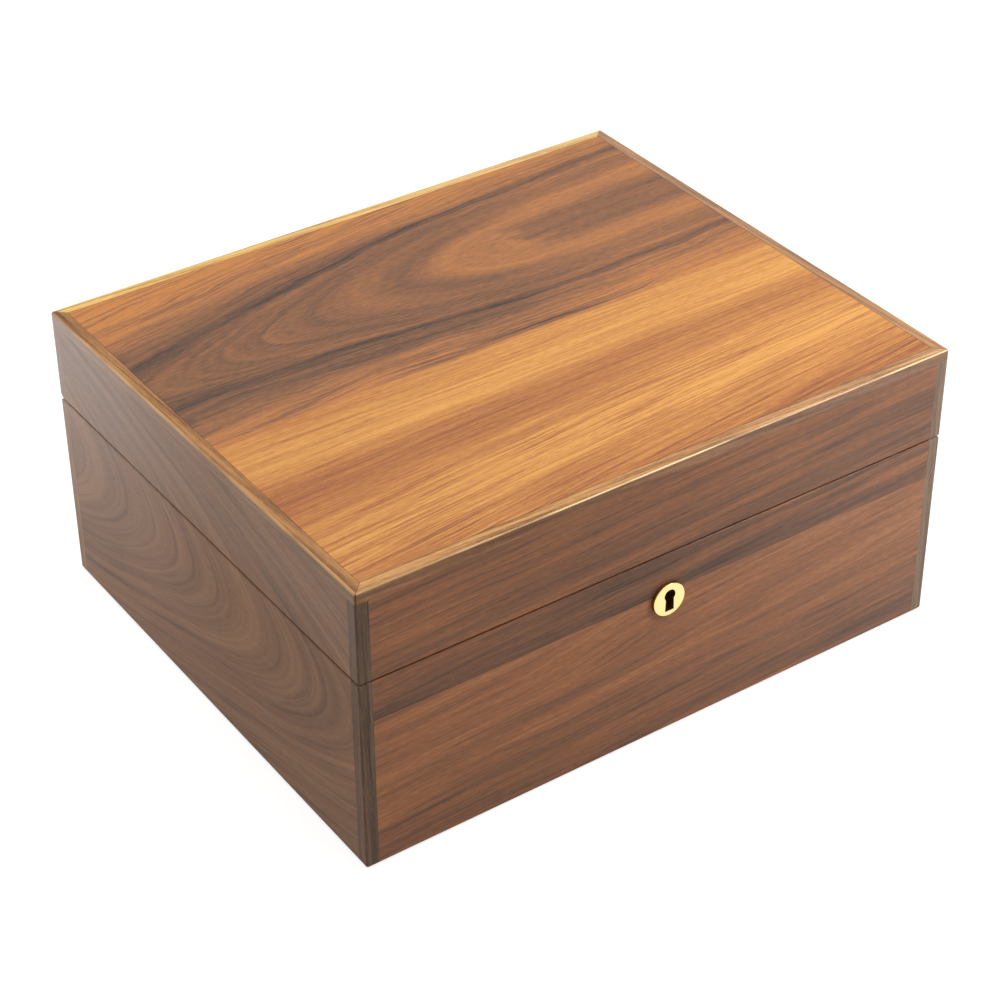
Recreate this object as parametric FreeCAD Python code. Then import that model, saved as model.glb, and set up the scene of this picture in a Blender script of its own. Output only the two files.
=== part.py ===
import FreeCAD, Part
import math
import os

# A watch box in veneered walnut: a lidded case on two stop hinges, with a box lock in the
# front wall and a lift-out tray of cushions over a storage space.
# Millimetres, +Z up. The origin is the middle of the underside and the front faces -Y.

# Overall sizes of the closed box
box_width = 300.0
box_depth = 250.0
box_height = 140.0
rim_height = 95.2
seam_gap = 0.5

# Boards, lippings and broken edges
wall_thickness = 12.0
bottom_thickness = 6.0
bottom_rabbet = 5.0
top_thickness = 8.0
corner_lipping = 6.0
edge_lipping_width = 5.5
edge_lipping_height = 5.2
arris_radius = 1.0
lid_rear_radius = 5.0
base_rear_radius = 2.0

# Felt, linings and the ledges that carry the tray
felt_thickness = 0.8
felt_inset = 3.0
floor_lining_thickness = 2.0
lining_thickness = 2.5
lining_below_rim = 0.5
lid_lining_thickness = 1.5
lid_lining_above_edge = 0.5
lid_pad_thickness = 5.0
lid_pad_edge_radius = 2.0
lid_pad_clearance = 0.3
ledge_thickness = 6.0
ledge_height = 33.0

# Lift-out tray and its crossed dividers
tray_clearance = 0.8
tray_seat_gap = 0.2
tray_floor_thickness = 3.0
tray_wall_thickness = 3.2
tray_wall_height = 45.0
divider_thickness = 2.8
divider_height = 42.0
divider_slot_clearance = 0.15
finger_notch_radius = 11.0
tray_columns = 5
tray_rows = 3

# Watch cushions
cushion_height = 41.0
cushion_side_gap = 1.2
cushion_floor_gap = 0.3
cushion_base_round = 5.0
cushion_crown_drop = 12.0
cushion_crown_run = 15.0
cushion_corner_radius = 9.0
cushion_side_pull = 1.0

# Stop hinges
hinge_end_distance = 41.0
hinge_setback = 0.3
hinge_opening_angle = 95.0
hinge_stop_play = 0.5
leaf_length = 38.0
leaf_width = 9.0
leaf_thickness = 2.0
barrel_length = 28.0
knuckle_radius = 2.5
knuckle_gap = 0.2
knuckle_clearance = 0.3
pin_radius = 1.0
pin_fit_clearance = 0.02
pin_running_clearance = 0.05
mortise_clearance = 0.1

# Countersunk screws
screw_head_radius = 1.9
screw_shank_radius = 0.9
screw_length = 10.0
screw_hole_clearance = 0.1
leaf_screw_spacing = 22.0
leaf_screw_setback = 5.2

# Box lock, its link plate and the round escutcheon
escutcheon_radius = 8.0
escutcheon_proud = 2.2
escutcheon_edge_radius = 0.5
spigot_radius = 6.9
spigot_clearance = 0.1
keyhole_rise = 2.35
keyhole_radius = 2.85
keyhole_neck_width = 4.2
keyhole_foot_width = 4.6
keyhole_height = 10.7
lock_cover_wood = 3.5
lock_case_width = 44.0
lock_case_below_post = 12.5
lock_plate = 1.0
selvedge_length = 58.0
selvedge_width = 9.0
selvedge_thickness = 1.5
selvedge_screw_spacing = 51.0
key_post_drop = 20.0
key_post_radius = 1.0
bolt_running_gap = 0.2
bolt_bar_depth = 5.0
bolt_bar_left = 19.0
bolt_bar_right = 8.0
bolt_travel = 4.5
bolt_rest_rib = 1.5
bolt_rest_offset = 12.0
hook_thickness = 2.2
hook_post_width = 3.0
hook_finger_length = 4.2
hook_finger_height = 2.5
talon_radius = 2.5
talon_above_post = 2.85
link_spacing = 20.0
link_loop_thickness = 2.0
link_loop_width = 5.0
link_loop_above_bar = 3.2
link_loop_foot = 1.5
link_slot_clearance = 0.4
link_window_clearance = 0.4
link_hook_gap = 0.8
spring_strip = 0.4
spring_width = 2.0
spring_span = 3.0
spring_reach = 0.7
spring_place = -3.0

# Levels and half sizes that follow from the values above
half_width = box_width / 2
half_depth = box_depth / 2
inner_half_width = half_width - wall_thickness
inner_half_depth = half_depth - wall_thickness
lid_bottom = rim_height + seam_gap
lid_wall_top = box_height - edge_lipping_height
top_panel_bottom = box_height - top_thickness
bottom_panel_top = felt_thickness + bottom_thickness
floor_level = bottom_panel_top + floor_lining_thickness
lining_top = rim_height - lining_below_rim
lined_half_width = inner_half_width - lining_thickness
lined_half_depth = inner_half_depth - lining_thickness
tray_bottom = floor_level + ledge_height + tray_seat_gap
tray_floor_top = tray_bottom + tray_floor_thickness
tray_half_width = lined_half_width - tray_clearance
tray_half_depth = lined_half_depth - tray_clearance
tray_inner_width = 2 * (tray_half_width - tray_wall_thickness)
tray_inner_depth = 2 * (tray_half_depth - tray_wall_thickness)
cell_width = (tray_inner_width - (tray_columns - 1) * divider_thickness) / tray_columns
cell_depth = (tray_inner_depth - (tray_rows - 1) * divider_thickness) / tray_rows
hinge_middle = half_width - hinge_end_distance - leaf_length / 2
hinge_axis_y = half_depth - hinge_setback
hinge_axis_z = rim_height + seam_gap / 2
knuckle_length = (barrel_length - 2 * knuckle_gap) / 3
keyhole_centre = rim_height - key_post_drop
escutcheon_height = keyhole_centre - keyhole_rise
lock_front = -half_depth + lock_cover_wood
lock_cover_front = -inner_half_depth - lock_plate
lock_middle = (lock_front + lock_plate + lock_cover_front) / 2
lock_top = rim_height - selvedge_thickness
lock_bottom = keyhole_centre - lock_case_below_post
bolt_bar_bottom = keyhole_centre + talon_above_post
bolt_bar_top = bolt_bar_bottom + bolt_bar_depth
link_foot = bolt_bar_top + link_loop_above_bar
hook_finger_bottom = link_foot + link_loop_foot + link_window_clearance
hook_finger_top = hook_finger_bottom + hook_finger_height

V = FreeCAD.Vector
X_AXIS = V(1, 0, 0)
Y_AXIS = V(0, 1, 0)
Z_AXIS = V(0, 0, 1)
ORIGIN = V(0, 0, 0)


def block(x_low, x_high, y_low, y_high, z_low, z_high):
    """A plain block between two corners."""
    return Part.makeBox(x_high - x_low, y_high - y_low, z_high - z_low, V(x_low, y_low, z_low))


def upright(outline, bottom, top):
    """A plan outline raised from one level to another."""
    corners = [V(x, y, bottom) for x, y in outline]
    return Part.Face(Part.makePolygon(corners + corners[:1])).extrude(V(0, 0, top - bottom))


def along_x(section, x_low, x_high):
    """A section of (y, z) points run along X."""
    corners = [V(x_low, y, z) for y, z in section]
    return Part.Face(Part.makePolygon(corners + corners[:1])).extrude(V(x_high - x_low, 0, 0))


def along_y(face_outline, y_low, y_high):
    """An outline of (x, z) points run along Y."""
    corners = [V(x, y_low, z) for x, z in face_outline]
    return Part.Face(Part.makePolygon(corners + corners[:1])).extrude(V(0, y_high - y_low, 0))


def mirror_x(shape):
    return shape.mirror(ORIGIN, X_AXIS)


def mirror_y(shape):
    return shape.mirror(ORIGIN, Y_AXIS)


def rod_x(radius, x_low, x_high, y, z):
    return Part.makeCylinder(radius, x_high - x_low, V(x_low, y, z), X_AXIS)


def rear_round(edge_level, radius, into):
    """The strip that rounding takes off a rear edge; into is +1 above the edge and -1 below it."""
    low = min(edge_level, edge_level + into * radius)
    strip = block(-half_width, half_width, half_depth - radius, half_depth, low, low + radius)
    bead = rod_x(radius, -half_width, half_width, half_depth - radius, edge_level + into * radius)
    return strip.cut(bead)


def case_block(bottom, top):
    """The outside of one half of the box after glue-up, with all its edges broken."""
    rough = block(-half_width, half_width, -half_depth, half_depth, bottom, top)
    return rough.makeFillet(arris_radius, rough.Edges)


def front_wall_outline():
    """The front wall in plan: mitred behind the corner lippings."""
    return [
        (-half_width + corner_lipping, -half_depth),
        (half_width - corner_lipping, -half_depth),
        (half_width - corner_lipping, -half_depth + corner_lipping),
        (inner_half_width, -inner_half_depth),
        (-inner_half_width, -inner_half_depth),
        (-half_width + corner_lipping, -half_depth + corner_lipping),
    ]


def right_wall_outline():
    """The right wall in plan: mitred behind the corner lippings."""
    return [
        (half_width, -half_depth + corner_lipping),
        (half_width, half_depth - corner_lipping),
        (half_width - corner_lipping, half_depth - corner_lipping),
        (inner_half_width, inner_half_depth),
        (inner_half_width, -inner_half_depth),
        (half_width - corner_lipping, -half_depth + corner_lipping),
    ]


def front_lipping_outline():
    """The lipping along the top front edge, mitred at both ends."""
    inner_x = half_width - edge_lipping_width
    inner_y = half_depth - edge_lipping_width
    return [(-half_width, -half_depth), (half_width, -half_depth), (inner_x, -inner_y), (-inner_x, -inner_y)]


def right_lipping_outline():
    """The lipping along the top right edge, mitred at both ends."""
    inner_x = half_width - edge_lipping_width
    inner_y = half_depth - edge_lipping_width
    return [(half_width, -half_depth), (half_width, half_depth), (inner_x, inner_y), (inner_x, -inner_y)]


def corner_post(bottom, top):
    """The square lipping that runs up the front right corner."""
    return block(half_width - corner_lipping, half_width, -half_depth, -half_depth + corner_lipping, bottom, top)


def four_sides(front, right):
    """A front and a right piece with their mirror images, by the side they stand on."""
    return {"front": front, "back": mirror_y(front), "left": mirror_x(right), "right": right}


def four_corners(post):
    """A front right post with its mirror images, by the corner they stand on."""
    left = mirror_x(post)
    return {
        "front_left": left,
        "front_right": post,
        "back_left": mirror_y(left),
        "back_right": mirror_y(post),
    }


def bottom_panel():
    """The bottom board, let up into a rabbet round the foot of the walls."""
    reach_x = inner_half_width + bottom_rabbet
    reach_y = inner_half_depth + bottom_rabbet
    return block(-reach_x, reach_x, -reach_y, reach_y, felt_thickness, bottom_panel_top)


def top_panel():
    """The lid's top board, inside the edge lippings."""
    reach_x = half_width - edge_lipping_width
    reach_y = half_depth - edge_lipping_width
    return block(-reach_x, reach_x, -reach_y, reach_y, top_panel_bottom, box_height)


def base_walls():
    """The four walls of the base, over the bottom board."""
    front = upright(front_wall_outline(), felt_thickness, rim_height)
    right = upright(right_wall_outline(), felt_thickness, rim_height)
    outside = case_block(felt_thickness, rim_height).cut(rear_round(rim_height, base_rear_radius, -1))
    walls = four_sides(front, right)
    return {side: wall.cut(bottom_panel()).common(outside) for side, wall in walls.items()}


def base_corners():
    """The corner lippings of the base."""
    outside = case_block(felt_thickness, rim_height).cut(rear_round(rim_height, base_rear_radius, -1))
    posts = four_corners(corner_post(felt_thickness, rim_height))
    return {corner: post.common(outside) for corner, post in posts.items()}


def lid_outside():
    """The outside of the lid, with the large round that clears the hinges along its rear edge."""
    return case_block(lid_bottom, box_height).cut(rear_round(lid_bottom, lid_rear_radius, 1))


def lid_walls():
    """The four walls of the lid, rabbeted round the top board."""
    front = upright(front_wall_outline(), lid_bottom, lid_wall_top)
    right = upright(right_wall_outline(), lid_bottom, lid_wall_top)
    outside = lid_outside()
    walls = four_sides(front, right)
    return {side: wall.cut(top_panel()).common(outside) for side, wall in walls.items()}


def lid_corners():
    """The corner lippings of the lid, under the edge lippings."""
    outside = lid_outside()
    posts = four_corners(corner_post(lid_bottom, lid_wall_top))
    return {corner: post.cut(top_panel()).common(outside) for corner, post in posts.items()}


def lid_edges():
    """The mitred lippings round the top of the lid."""
    outside = lid_outside()
    front = upright(front_lipping_outline(), lid_wall_top, box_height)
    right = upright(right_lipping_outline(), lid_wall_top, box_height)
    return {side: strip.common(outside) for side, strip in four_sides(front, right).items()}


def felt_pad():
    """The felt glued under the bottom board."""
    reach_x = half_width - felt_inset
    reach_y = half_depth - felt_inset
    return block(-reach_x, reach_x, -reach_y, reach_y, 0, felt_thickness)


def floor_lining():
    """The covered card on the bottom board."""
    return block(-inner_half_width, inner_half_width, -inner_half_depth, inner_half_depth,
                 bottom_panel_top, floor_level)


def wall_linings(thickness, bottom, top):
    """Covered cards on four walls; the side cards fit between the front and back ones."""
    between = inner_half_depth - thickness
    front = block(-inner_half_width, inner_half_width, -inner_half_depth, -between, bottom, top)
    right = block(inner_half_width - thickness, inner_half_width, -between, between, bottom, top)
    return four_sides(front, right)


def lid_pad():
    """The padded card under the top board, with a soft lower edge."""
    reach_x = inner_half_width - lid_lining_thickness - lid_pad_clearance
    reach_y = inner_half_depth - lid_lining_thickness - lid_pad_clearance
    lower_face = top_panel_bottom - lid_pad_thickness
    pad = block(-reach_x, reach_x, -reach_y, reach_y, lower_face, top_panel_bottom)
    lower_edges = [edge for edge in pad.Edges if edge.BoundBox.ZMax < top_panel_bottom - lid_pad_thickness / 2]
    return pad.makeFillet(lid_pad_edge_radius, lower_edges)


def tray_ledges():
    """The covered boards at both ends that the tray rests on."""
    right = block(lined_half_width - ledge_thickness, lined_half_width, -lined_half_depth, lined_half_depth,
                  floor_level, floor_level + ledge_height)
    return Part.makeCompound([mirror_x(right), right])


def covered_board(length, thickness, height):
    """A covered board along X, standing on the tray's floor, with a half-round top edge."""
    half = thickness / 2
    shoulder = tray_floor_top + height - half
    start = -length / 2
    foot_front = V(start, -half, tray_floor_top)
    foot_back = V(start, half, tray_floor_top)
    shoulder_front = V(start, -half, shoulder)
    shoulder_back = V(start, half, shoulder)
    crown = V(start, 0, shoulder + half)
    edges = [
        Part.makeLine(foot_front, foot_back),
        Part.makeLine(foot_back, shoulder_back),
        Part.Arc(shoulder_back, crown, shoulder_front).toShape(),
        Part.makeLine(shoulder_front, foot_front),
    ]
    return Part.Face(Part.Wire(edges)).extrude(V(length, 0, 0))


def turned(board):
    """A board along X turned to run along Y."""
    return board.rotated(ORIGIN, Z_AXIS, 90)


def tray_floor():
    return block(-tray_half_width, tray_half_width, -tray_half_depth, tray_half_depth,
                 tray_bottom, tray_floor_top)


def tray_long_walls():
    """The tray's front and back walls."""
    wall = covered_board(2 * tray_half_width, tray_wall_thickness, tray_wall_height)
    place = tray_half_depth - tray_wall_thickness / 2
    return Part.makeCompound([wall.translated(V(0, -place, 0)), wall.translated(V(0, place, 0))])


def tray_end_walls():
    """The tray's end walls, each with a round notch for a finger."""
    wall = turned(covered_board(tray_inner_depth, tray_wall_thickness, tray_wall_height))
    notch_level = tray_floor_top + tray_wall_height
    notch = rod_x(finger_notch_radius, -tray_wall_thickness, tray_wall_thickness, 0, notch_level)
    wall = wall.cut(notch)
    place = tray_half_width - tray_wall_thickness / 2
    return Part.makeCompound([wall.translated(V(-place, 0, 0)), wall.translated(V(place, 0, 0))])


def divider_places(cell, count):
    """The middles of the dividers between a number of equal cells."""
    pitch = cell + divider_thickness
    return [(index - count / 2) * pitch for index in range(1, count)]


def tray_long_dividers():
    """The dividers between rows, slotted from above where the cross dividers pass."""
    board = covered_board(tray_inner_width, divider_thickness, divider_height)
    half_slot = divider_thickness / 2 + divider_slot_clearance
    slot_floor = tray_floor_top + divider_height / 2 - divider_slot_clearance
    for x in divider_places(cell_width, tray_columns):
        board = board.cut(block(x - half_slot, x + half_slot, -divider_thickness, divider_thickness,
                                slot_floor, tray_floor_top + 2 * divider_height))
    return Part.makeCompound([board.translated(V(0, y, 0)) for y in divider_places(cell_depth, tray_rows)])


def tray_cross_dividers():
    """The dividers between columns, slotted from below where the long dividers pass."""
    board = turned(covered_board(tray_inner_depth, divider_thickness, divider_height))
    half_slot = divider_thickness / 2 + divider_slot_clearance
    slot_roof = tray_floor_top + divider_height / 2 + divider_slot_clearance
    for y in divider_places(cell_depth, tray_rows):
        board = board.cut(block(-divider_thickness, divider_thickness, y - half_slot, y + half_slot,
                                tray_bottom, slot_roof))
    return Part.makeCompound([board.translated(V(x, 0, 0)) for x in divider_places(cell_width, tray_columns)])


def cushion_outline(inset, level):
    """A cushion's outline at one level: round corners, with sides pulled in between them."""
    full_x = cell_width / 2 - cushion_side_gap
    full_y = cell_depth / 2 - cushion_side_gap
    half_x = full_x - inset
    half_y = full_y - inset
    share = half_x / full_x
    corner = cushion_corner_radius * share
    pull = cushion_side_pull * share
    bulge = corner * (1 - math.sqrt(0.5))
    quarter = [
        (V(half_x, -half_y + corner, level), V(half_x - pull, 0, level), V(half_x, half_y - corner, level)),
        (V(half_x, half_y - corner, level), V(half_x - bulge, half_y - bulge, level),
         V(half_x - corner, half_y, level)),
        (V(half_x - corner, half_y, level), V(0, half_y - pull, level), V(-half_x + corner, half_y, level)),
        (V(-half_x + corner, half_y, level), V(-half_x + bulge, half_y - bulge, level),
         V(-half_x, half_y - corner, level)),
    ]
    edges = [Part.Arc(*points).toShape() for points in quarter]
    edges += [edge.rotated(V(0, 0, level), Z_AXIS, 180) for edge in edges]
    return Part.Wire(edges)


def cushion():
    """One cushion: a tucked foot, upright sides and a crown, lofted through outlines."""
    foot = tray_floor_top + cushion_floor_gap
    crown = foot + cushion_height
    outlines = [
        cushion_outline(cushion_base_round, foot),
        cushion_outline(0, foot + cushion_base_round),
    ]
    for angle in (0, 45, 90):
        drop = cushion_crown_drop * (1 - math.sin(math.radians(angle)))
        inset = cushion_crown_run * (1 - math.cos(math.radians(angle)))
        outlines.append(cushion_outline(inset, crown - drop))
    return Part.makeLoft(outlines, True, True)


def cushion_rows():
    """The cushions, one compound for each row of the tray, from front to back."""
    pitch_x = cell_width + divider_thickness
    pitch_y = cell_depth + divider_thickness
    one = cushion()
    rows = []
    for row in range(tray_rows):
        y = (row - (tray_rows - 1) / 2) * pitch_y
        places = [V((column - (tray_columns - 1) / 2) * pitch_x, y, 0) for column in range(tray_columns)]
        rows.append(Part.makeCompound([one.translated(place) for place in places]))
    return rows


def screw(clearance):
    """A countersunk screw driven downwards from the origin; its hole is grown by a clearance."""
    head = screw_head_radius + clearance
    shank = screw_shank_radius + clearance
    length = screw_length + clearance
    profile = [
        V(0, 0, 0),
        V(head, 0, 0),
        V(shank, 0, shank - head),
        V(shank, 0, shank - length),
        V(0, 0, -length),
    ]
    return Part.Face(Part.makePolygon(profile + profile[:1])).revolve(ORIGIN, Z_AXIS, 360)


def screws_at(places, level, clearance, up):
    """Screws at plan places with their heads at one level, driven up or down."""
    one = screw(clearance)
    if up:
        one = one.mirror(ORIGIN, Z_AXIS)
    return [one.translated(V(x, y, level)) for x, y in places]


def leaf_screw_places():
    """The plan places of the screws in both hinges."""
    y = hinge_axis_y - leaf_screw_setback
    hinges = (-hinge_middle, hinge_middle)
    return [(hinge + side * leaf_screw_spacing / 2, y) for hinge in hinges for side in (-1, 1)]


def selvedge_screw_places():
    """The plan places of the screws at the ends of the lock's top plate and of the link plate."""
    y = -inner_half_depth - selvedge_width / 2
    return [(-selvedge_screw_spacing / 2, y), (selvedge_screw_spacing / 2, y)]


def base_knuckle_spans():
    """The stretches of the barrel that belong to the base leaf."""
    end = barrel_length / 2
    return [(-end, -end + knuckle_length), (end - knuckle_length, end)]


def lid_knuckle_spans():
    """The stretch of the barrel that belongs to the lid leaf."""
    return [(-knuckle_length / 2, knuckle_length / 2)]


def leaf(own_spans, other_spans, bore_clearance):
    """A leaf below its pin axis on X. Its heels past the barrel meet the other leaf's at the stop."""
    top = -seam_gap / 2
    under = top - leaf_thickness
    slope = math.radians(hinge_opening_angle / 2 + hinge_stop_play)
    shape = block(-leaf_length / 2, leaf_length / 2, -leaf_width, 0, under, top)
    heel_section = [(0, top), (-top / math.tan(slope), top), (-under / math.tan(slope), under), (0, under)]
    heel = along_x(heel_section, barrel_length / 2 + knuckle_gap, leaf_length / 2)
    shape = shape.fuse(heel).fuse(mirror_x(heel))
    for low, high in other_spans:
        shape = shape.cut(rod_x(knuckle_radius + knuckle_clearance, low - knuckle_gap, high + knuckle_gap, 0, 0))
    for low, high in own_spans:
        shape = shape.fuse(rod_x(knuckle_radius, low, high, 0, 0))
    for low, high in own_spans:
        shape = shape.cut(rod_x(pin_radius + bore_clearance, low, high, 0, 0))
    return shape.removeSplitter()


def base_leaf():
    return leaf(base_knuckle_spans(), lid_knuckle_spans(), pin_fit_clearance)


def lid_leaf():
    turned_up = leaf(lid_knuckle_spans(), base_knuckle_spans(), pin_running_clearance)
    return turned_up.mirror(ORIGIN, Z_AXIS)


def hinge_pin():
    return rod_x(pin_radius, -barrel_length / 2, barrel_length / 2, 0, 0)


def at_hinge(shape, side):
    """A hinge piece made round the origin, set at the left (-1) or right (+1) hinge."""
    return shape.translated(V(side * hinge_middle, hinge_axis_y, hinge_axis_z))


def hinge_mortise(side, low, high):
    """The space one hinge takes out of a back wall: leaf, barrel and heels."""
    middle = side * hinge_middle
    reach = leaf_length / 2 + mortise_clearance
    front = hinge_axis_y - leaf_width - mortise_clearance
    bed = block(middle - reach, middle + reach, front, half_depth + knuckle_radius, low, high)
    barrel = rod_x(knuckle_radius + knuckle_clearance, middle - barrel_length / 2 - knuckle_gap,
                   middle + barrel_length / 2 + knuckle_gap, hinge_axis_y, hinge_axis_z)
    return bed.fuse(barrel)


def fit_hinges(wall, low, high, head_level, up):
    """A back wall with the beds of both hinges and the holes of their screws cut out."""
    for side in (-1, 1):
        wall = wall.cut(hinge_mortise(side, low, high))
    for hole in screws_at(leaf_screw_places(), head_level, screw_hole_clearance, up):
        wall = wall.cut(hole)
    return wall


def drilled_leaf(shape, head_level, up):
    for hole in screws_at(leaf_screw_places(), head_level, screw_hole_clearance, up):
        shape = shape.cut(hole)
    return shape


def keyhole(y_low, y_high):
    """The keyhole: a round eye over a slot that widens towards its foot."""
    neck = keyhole_neck_width / 2
    foot = keyhole_foot_width / 2
    meet = keyhole_centre - math.sqrt(keyhole_radius ** 2 - neck ** 2)
    foot_level = keyhole_centre + keyhole_radius - keyhole_height
    eye = Part.Arc(V(neck, y_low, meet), V(0, y_low, keyhole_centre + keyhole_radius), V(-neck, y_low, meet))
    edges = [
        eye.toShape(),
        Part.makeLine(V(-neck, y_low, meet), V(-foot, y_low, foot_level)),
        Part.makeLine(V(-foot, y_low, foot_level), V(foot, y_low, foot_level)),
        Part.makeLine(V(foot, y_low, foot_level), V(neck, y_low, meet)),
    ]
    return Part.Face(Part.Wire(edges)).extrude(V(0, y_high - y_low, 0))


def spigot_hole():
    """The round hole in the front wall that takes the escutcheon's spigot."""
    return Part.makeCylinder(spigot_radius + spigot_clearance, lock_cover_wood,
                             V(0, -half_depth, escutcheon_height), Y_AXIS)


def escutcheon():
    """The turned escutcheon: a disc with a soft edge and a spigot, pierced by the keyhole."""
    face = -half_depth - escutcheon_proud
    disc = Part.makeCylinder(escutcheon_radius, escutcheon_proud, V(0, face, escutcheon_height), Y_AXIS)
    front_edge = [edge for edge in disc.Edges if edge.BoundBox.YMax < face + escutcheon_edge_radius]
    disc = disc.makeFillet(escutcheon_edge_radius, front_edge)
    spigot = Part.makeCylinder(spigot_radius, lock_cover_wood - spigot_clearance,
                               V(0, -half_depth, escutcheon_height), Y_AXIS)
    return disc.fuse(spigot).cut(keyhole(face, lock_front))


def link_places():
    """The places along X of the two loops on the link plate."""
    return (-link_spacing / 2, link_spacing / 2)


def lock_pocket():
    """The pocket that the lock takes out of the front wall, open to the inside and the rim."""
    reach = lock_case_width / 2 + mortise_clearance
    body = block(-reach, reach, lock_front, -inner_half_depth, lock_bottom - mortise_clearance, rim_height)
    end = selvedge_length / 2 + mortise_clearance
    front = -inner_half_depth - selvedge_width - mortise_clearance
    return body.fuse(block(-end, end, front, -inner_half_depth, lock_top, rim_height))


def selvedge(low, high):
    """A narrow plate on the rim, as on the lock and on its link plate."""
    end = selvedge_length / 2
    return block(-end, end, -inner_half_depth - selvedge_width, -inner_half_depth, low, high)


def lock_case():
    """The lock's pan: a front plate and four sides under the top plate, with ribs below the bolt."""
    half = lock_case_width / 2
    pan = block(-half, half, lock_front, lock_cover_front, lock_bottom, lock_top)
    room = block(-half + lock_plate, half - lock_plate, lock_front + lock_plate, lock_cover_front,
                 lock_bottom + lock_plate, lock_top)
    case = pan.cut(room).fuse(selvedge(lock_top, rim_height))
    for x in (-bolt_rest_offset, bolt_rest_offset):
        rib = block(x - bolt_rest_rib / 2, x + bolt_rest_rib / 2, lock_front + lock_plate, lock_cover_front,
                    lock_bottom + lock_plate, bolt_bar_bottom - bolt_running_gap)
        case = case.fuse(rib)
    reach_x = link_loop_thickness / 2 + link_slot_clearance
    reach_y = link_loop_width / 2 + link_slot_clearance
    for x in link_places():
        case = case.cut(block(x - reach_x, x + reach_x, lock_middle - reach_y, lock_middle + reach_y,
                              lock_top, rim_height))
    for hole in screws_at(selvedge_screw_places(), rim_height, screw_hole_clearance, False):
        case = case.cut(hole)
    return case.cut(keyhole(lock_front, lock_front + lock_plate)).removeSplitter()


def lock_cover():
    """The plate that closes the lock on the inside of the wall."""
    half = lock_case_width / 2
    return block(-half, half, lock_cover_front, -inner_half_depth, lock_bottom, lock_top)


def key_post():
    """The post that a hollow key slides over."""
    length = lock_cover_front - lock_front
    return Part.makeCylinder(key_post_radius, length, V(0, lock_front, keyhole_centre), Y_AXIS)


def spring_profile(margin):
    """The bent strip's tip as a V, grown by a margin for the notch that it drops into."""
    tip = bolt_bar_top - spring_reach
    return [
        (spring_place - spring_span - margin, tip + 2 * spring_span),
        (spring_place, tip - 2 * margin),
        (spring_place + spring_span + margin, tip + 2 * spring_span),
    ]


def lock_bolt():
    """The sliding bolt: a bar with two hooks, a talon for the key and two notches for the spring."""
    front = lock_front + lock_plate + bolt_running_gap
    back = lock_cover_front - bolt_running_gap
    bolt = block(-bolt_bar_left, bolt_bar_right, front, back, bolt_bar_bottom, bolt_bar_top)
    hook_front = lock_middle - hook_thickness / 2
    hook_back = lock_middle + hook_thickness / 2
    for x in link_places():
        tip = x - link_loop_thickness / 2 - link_hook_gap
        heel = tip - hook_finger_length
        post = block(heel - hook_post_width, heel, hook_front, hook_back, bolt_bar_bottom, hook_finger_top)
        finger = block(heel, tip, hook_front, hook_back, hook_finger_bottom, hook_finger_top)
        bolt = bolt.fuse(post).fuse(finger)
    talon = Part.makeCylinder(talon_radius, back - front, V(-bolt_travel / 2, front, bolt_bar_bottom), Y_AXIS)
    bolt = bolt.cut(talon)
    notch = along_y(spring_profile(bolt_running_gap), front, back)
    above_bar = block(-bolt_bar_left, bolt_bar_right, front, back, bolt_bar_bottom, bolt_bar_top)
    notch = notch.common(above_bar)
    return bolt.cut(notch).cut(notch.translated(V(-bolt_travel, 0, 0))).removeSplitter()


def bolt_spring():
    """The bent strip under the top plate whose tip holds the bolt at either end of its travel."""
    front = lock_middle - spring_width / 2
    back = lock_middle + spring_width / 2
    strip = along_y(spring_profile(0), front, back)
    inside = along_y(spring_profile(0), front, back).translated(V(0, 0, 2.5 * spring_strip))
    left = spring_place - spring_span
    stem_level = bolt_bar_top - spring_reach + 2 * spring_span
    stem = block(left, left + spring_strip, front, back, stem_level - 2 * spring_strip, lock_top)
    return strip.cut(inside).fuse(stem).removeSplitter()


def link_plate():
    """The plate under the lid's front edge, with two loops that drop into the lock."""
    plate = selvedge(lid_bottom, lid_bottom + selvedge_thickness)
    window_top = hook_finger_top + link_window_clearance
    window_bottom = hook_finger_bottom - link_window_clearance
    reach = hook_thickness / 2 + link_window_clearance
    for x in link_places():
        low = x - link_loop_thickness / 2
        high = x + link_loop_thickness / 2
        loop = block(low, high, lock_middle - link_loop_width / 2, lock_middle + link_loop_width / 2,
                     link_foot, lid_bottom)
        loop = loop.cut(block(low, high, lock_middle - reach, lock_middle + reach, window_bottom, window_top))
        plate = plate.fuse(loop)
    for hole in screws_at(selvedge_screw_places(), lid_bottom, screw_hole_clearance, True):
        plate = plate.cut(hole)
    return plate.removeSplitter()


def link_plate_bed():
    """The shallow recess in the lid's front edge for the link plate."""
    end = selvedge_length / 2 + mortise_clearance
    front = -inner_half_depth - selvedge_width - mortise_clearance
    return block(-end, end, front, -inner_half_depth, lid_bottom, lid_bottom + selvedge_thickness)


def base_pieces():
    """The base: walls, lippings, bottom, felt, linings and ledges."""
    walls = base_walls()
    front = walls["front"].cut(lock_pocket()).cut(spigot_hole())
    for hole in screws_at(selvedge_screw_places(), rim_height, screw_hole_clearance, False):
        front = front.cut(hole)
    walls["front"] = front
    walls["back"] = fit_hinges(walls["back"], rim_height - leaf_thickness, rim_height, rim_height, False)
    pieces = {"base_" + side + "_panel": wall for side, wall in walls.items()}
    pieces.update({"base_corner_" + corner: post for corner, post in base_corners().items()})
    linings = wall_linings(lining_thickness, floor_level, lining_top)
    pieces.update({"base_lining_" + side: card for side, card in linings.items()})
    pieces["base_bottom_panel"] = bottom_panel()
    pieces["base_felt"] = felt_pad()
    pieces["base_lining_floor"] = floor_lining()
    pieces["tray_ledges"] = tray_ledges()
    return pieces


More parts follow.
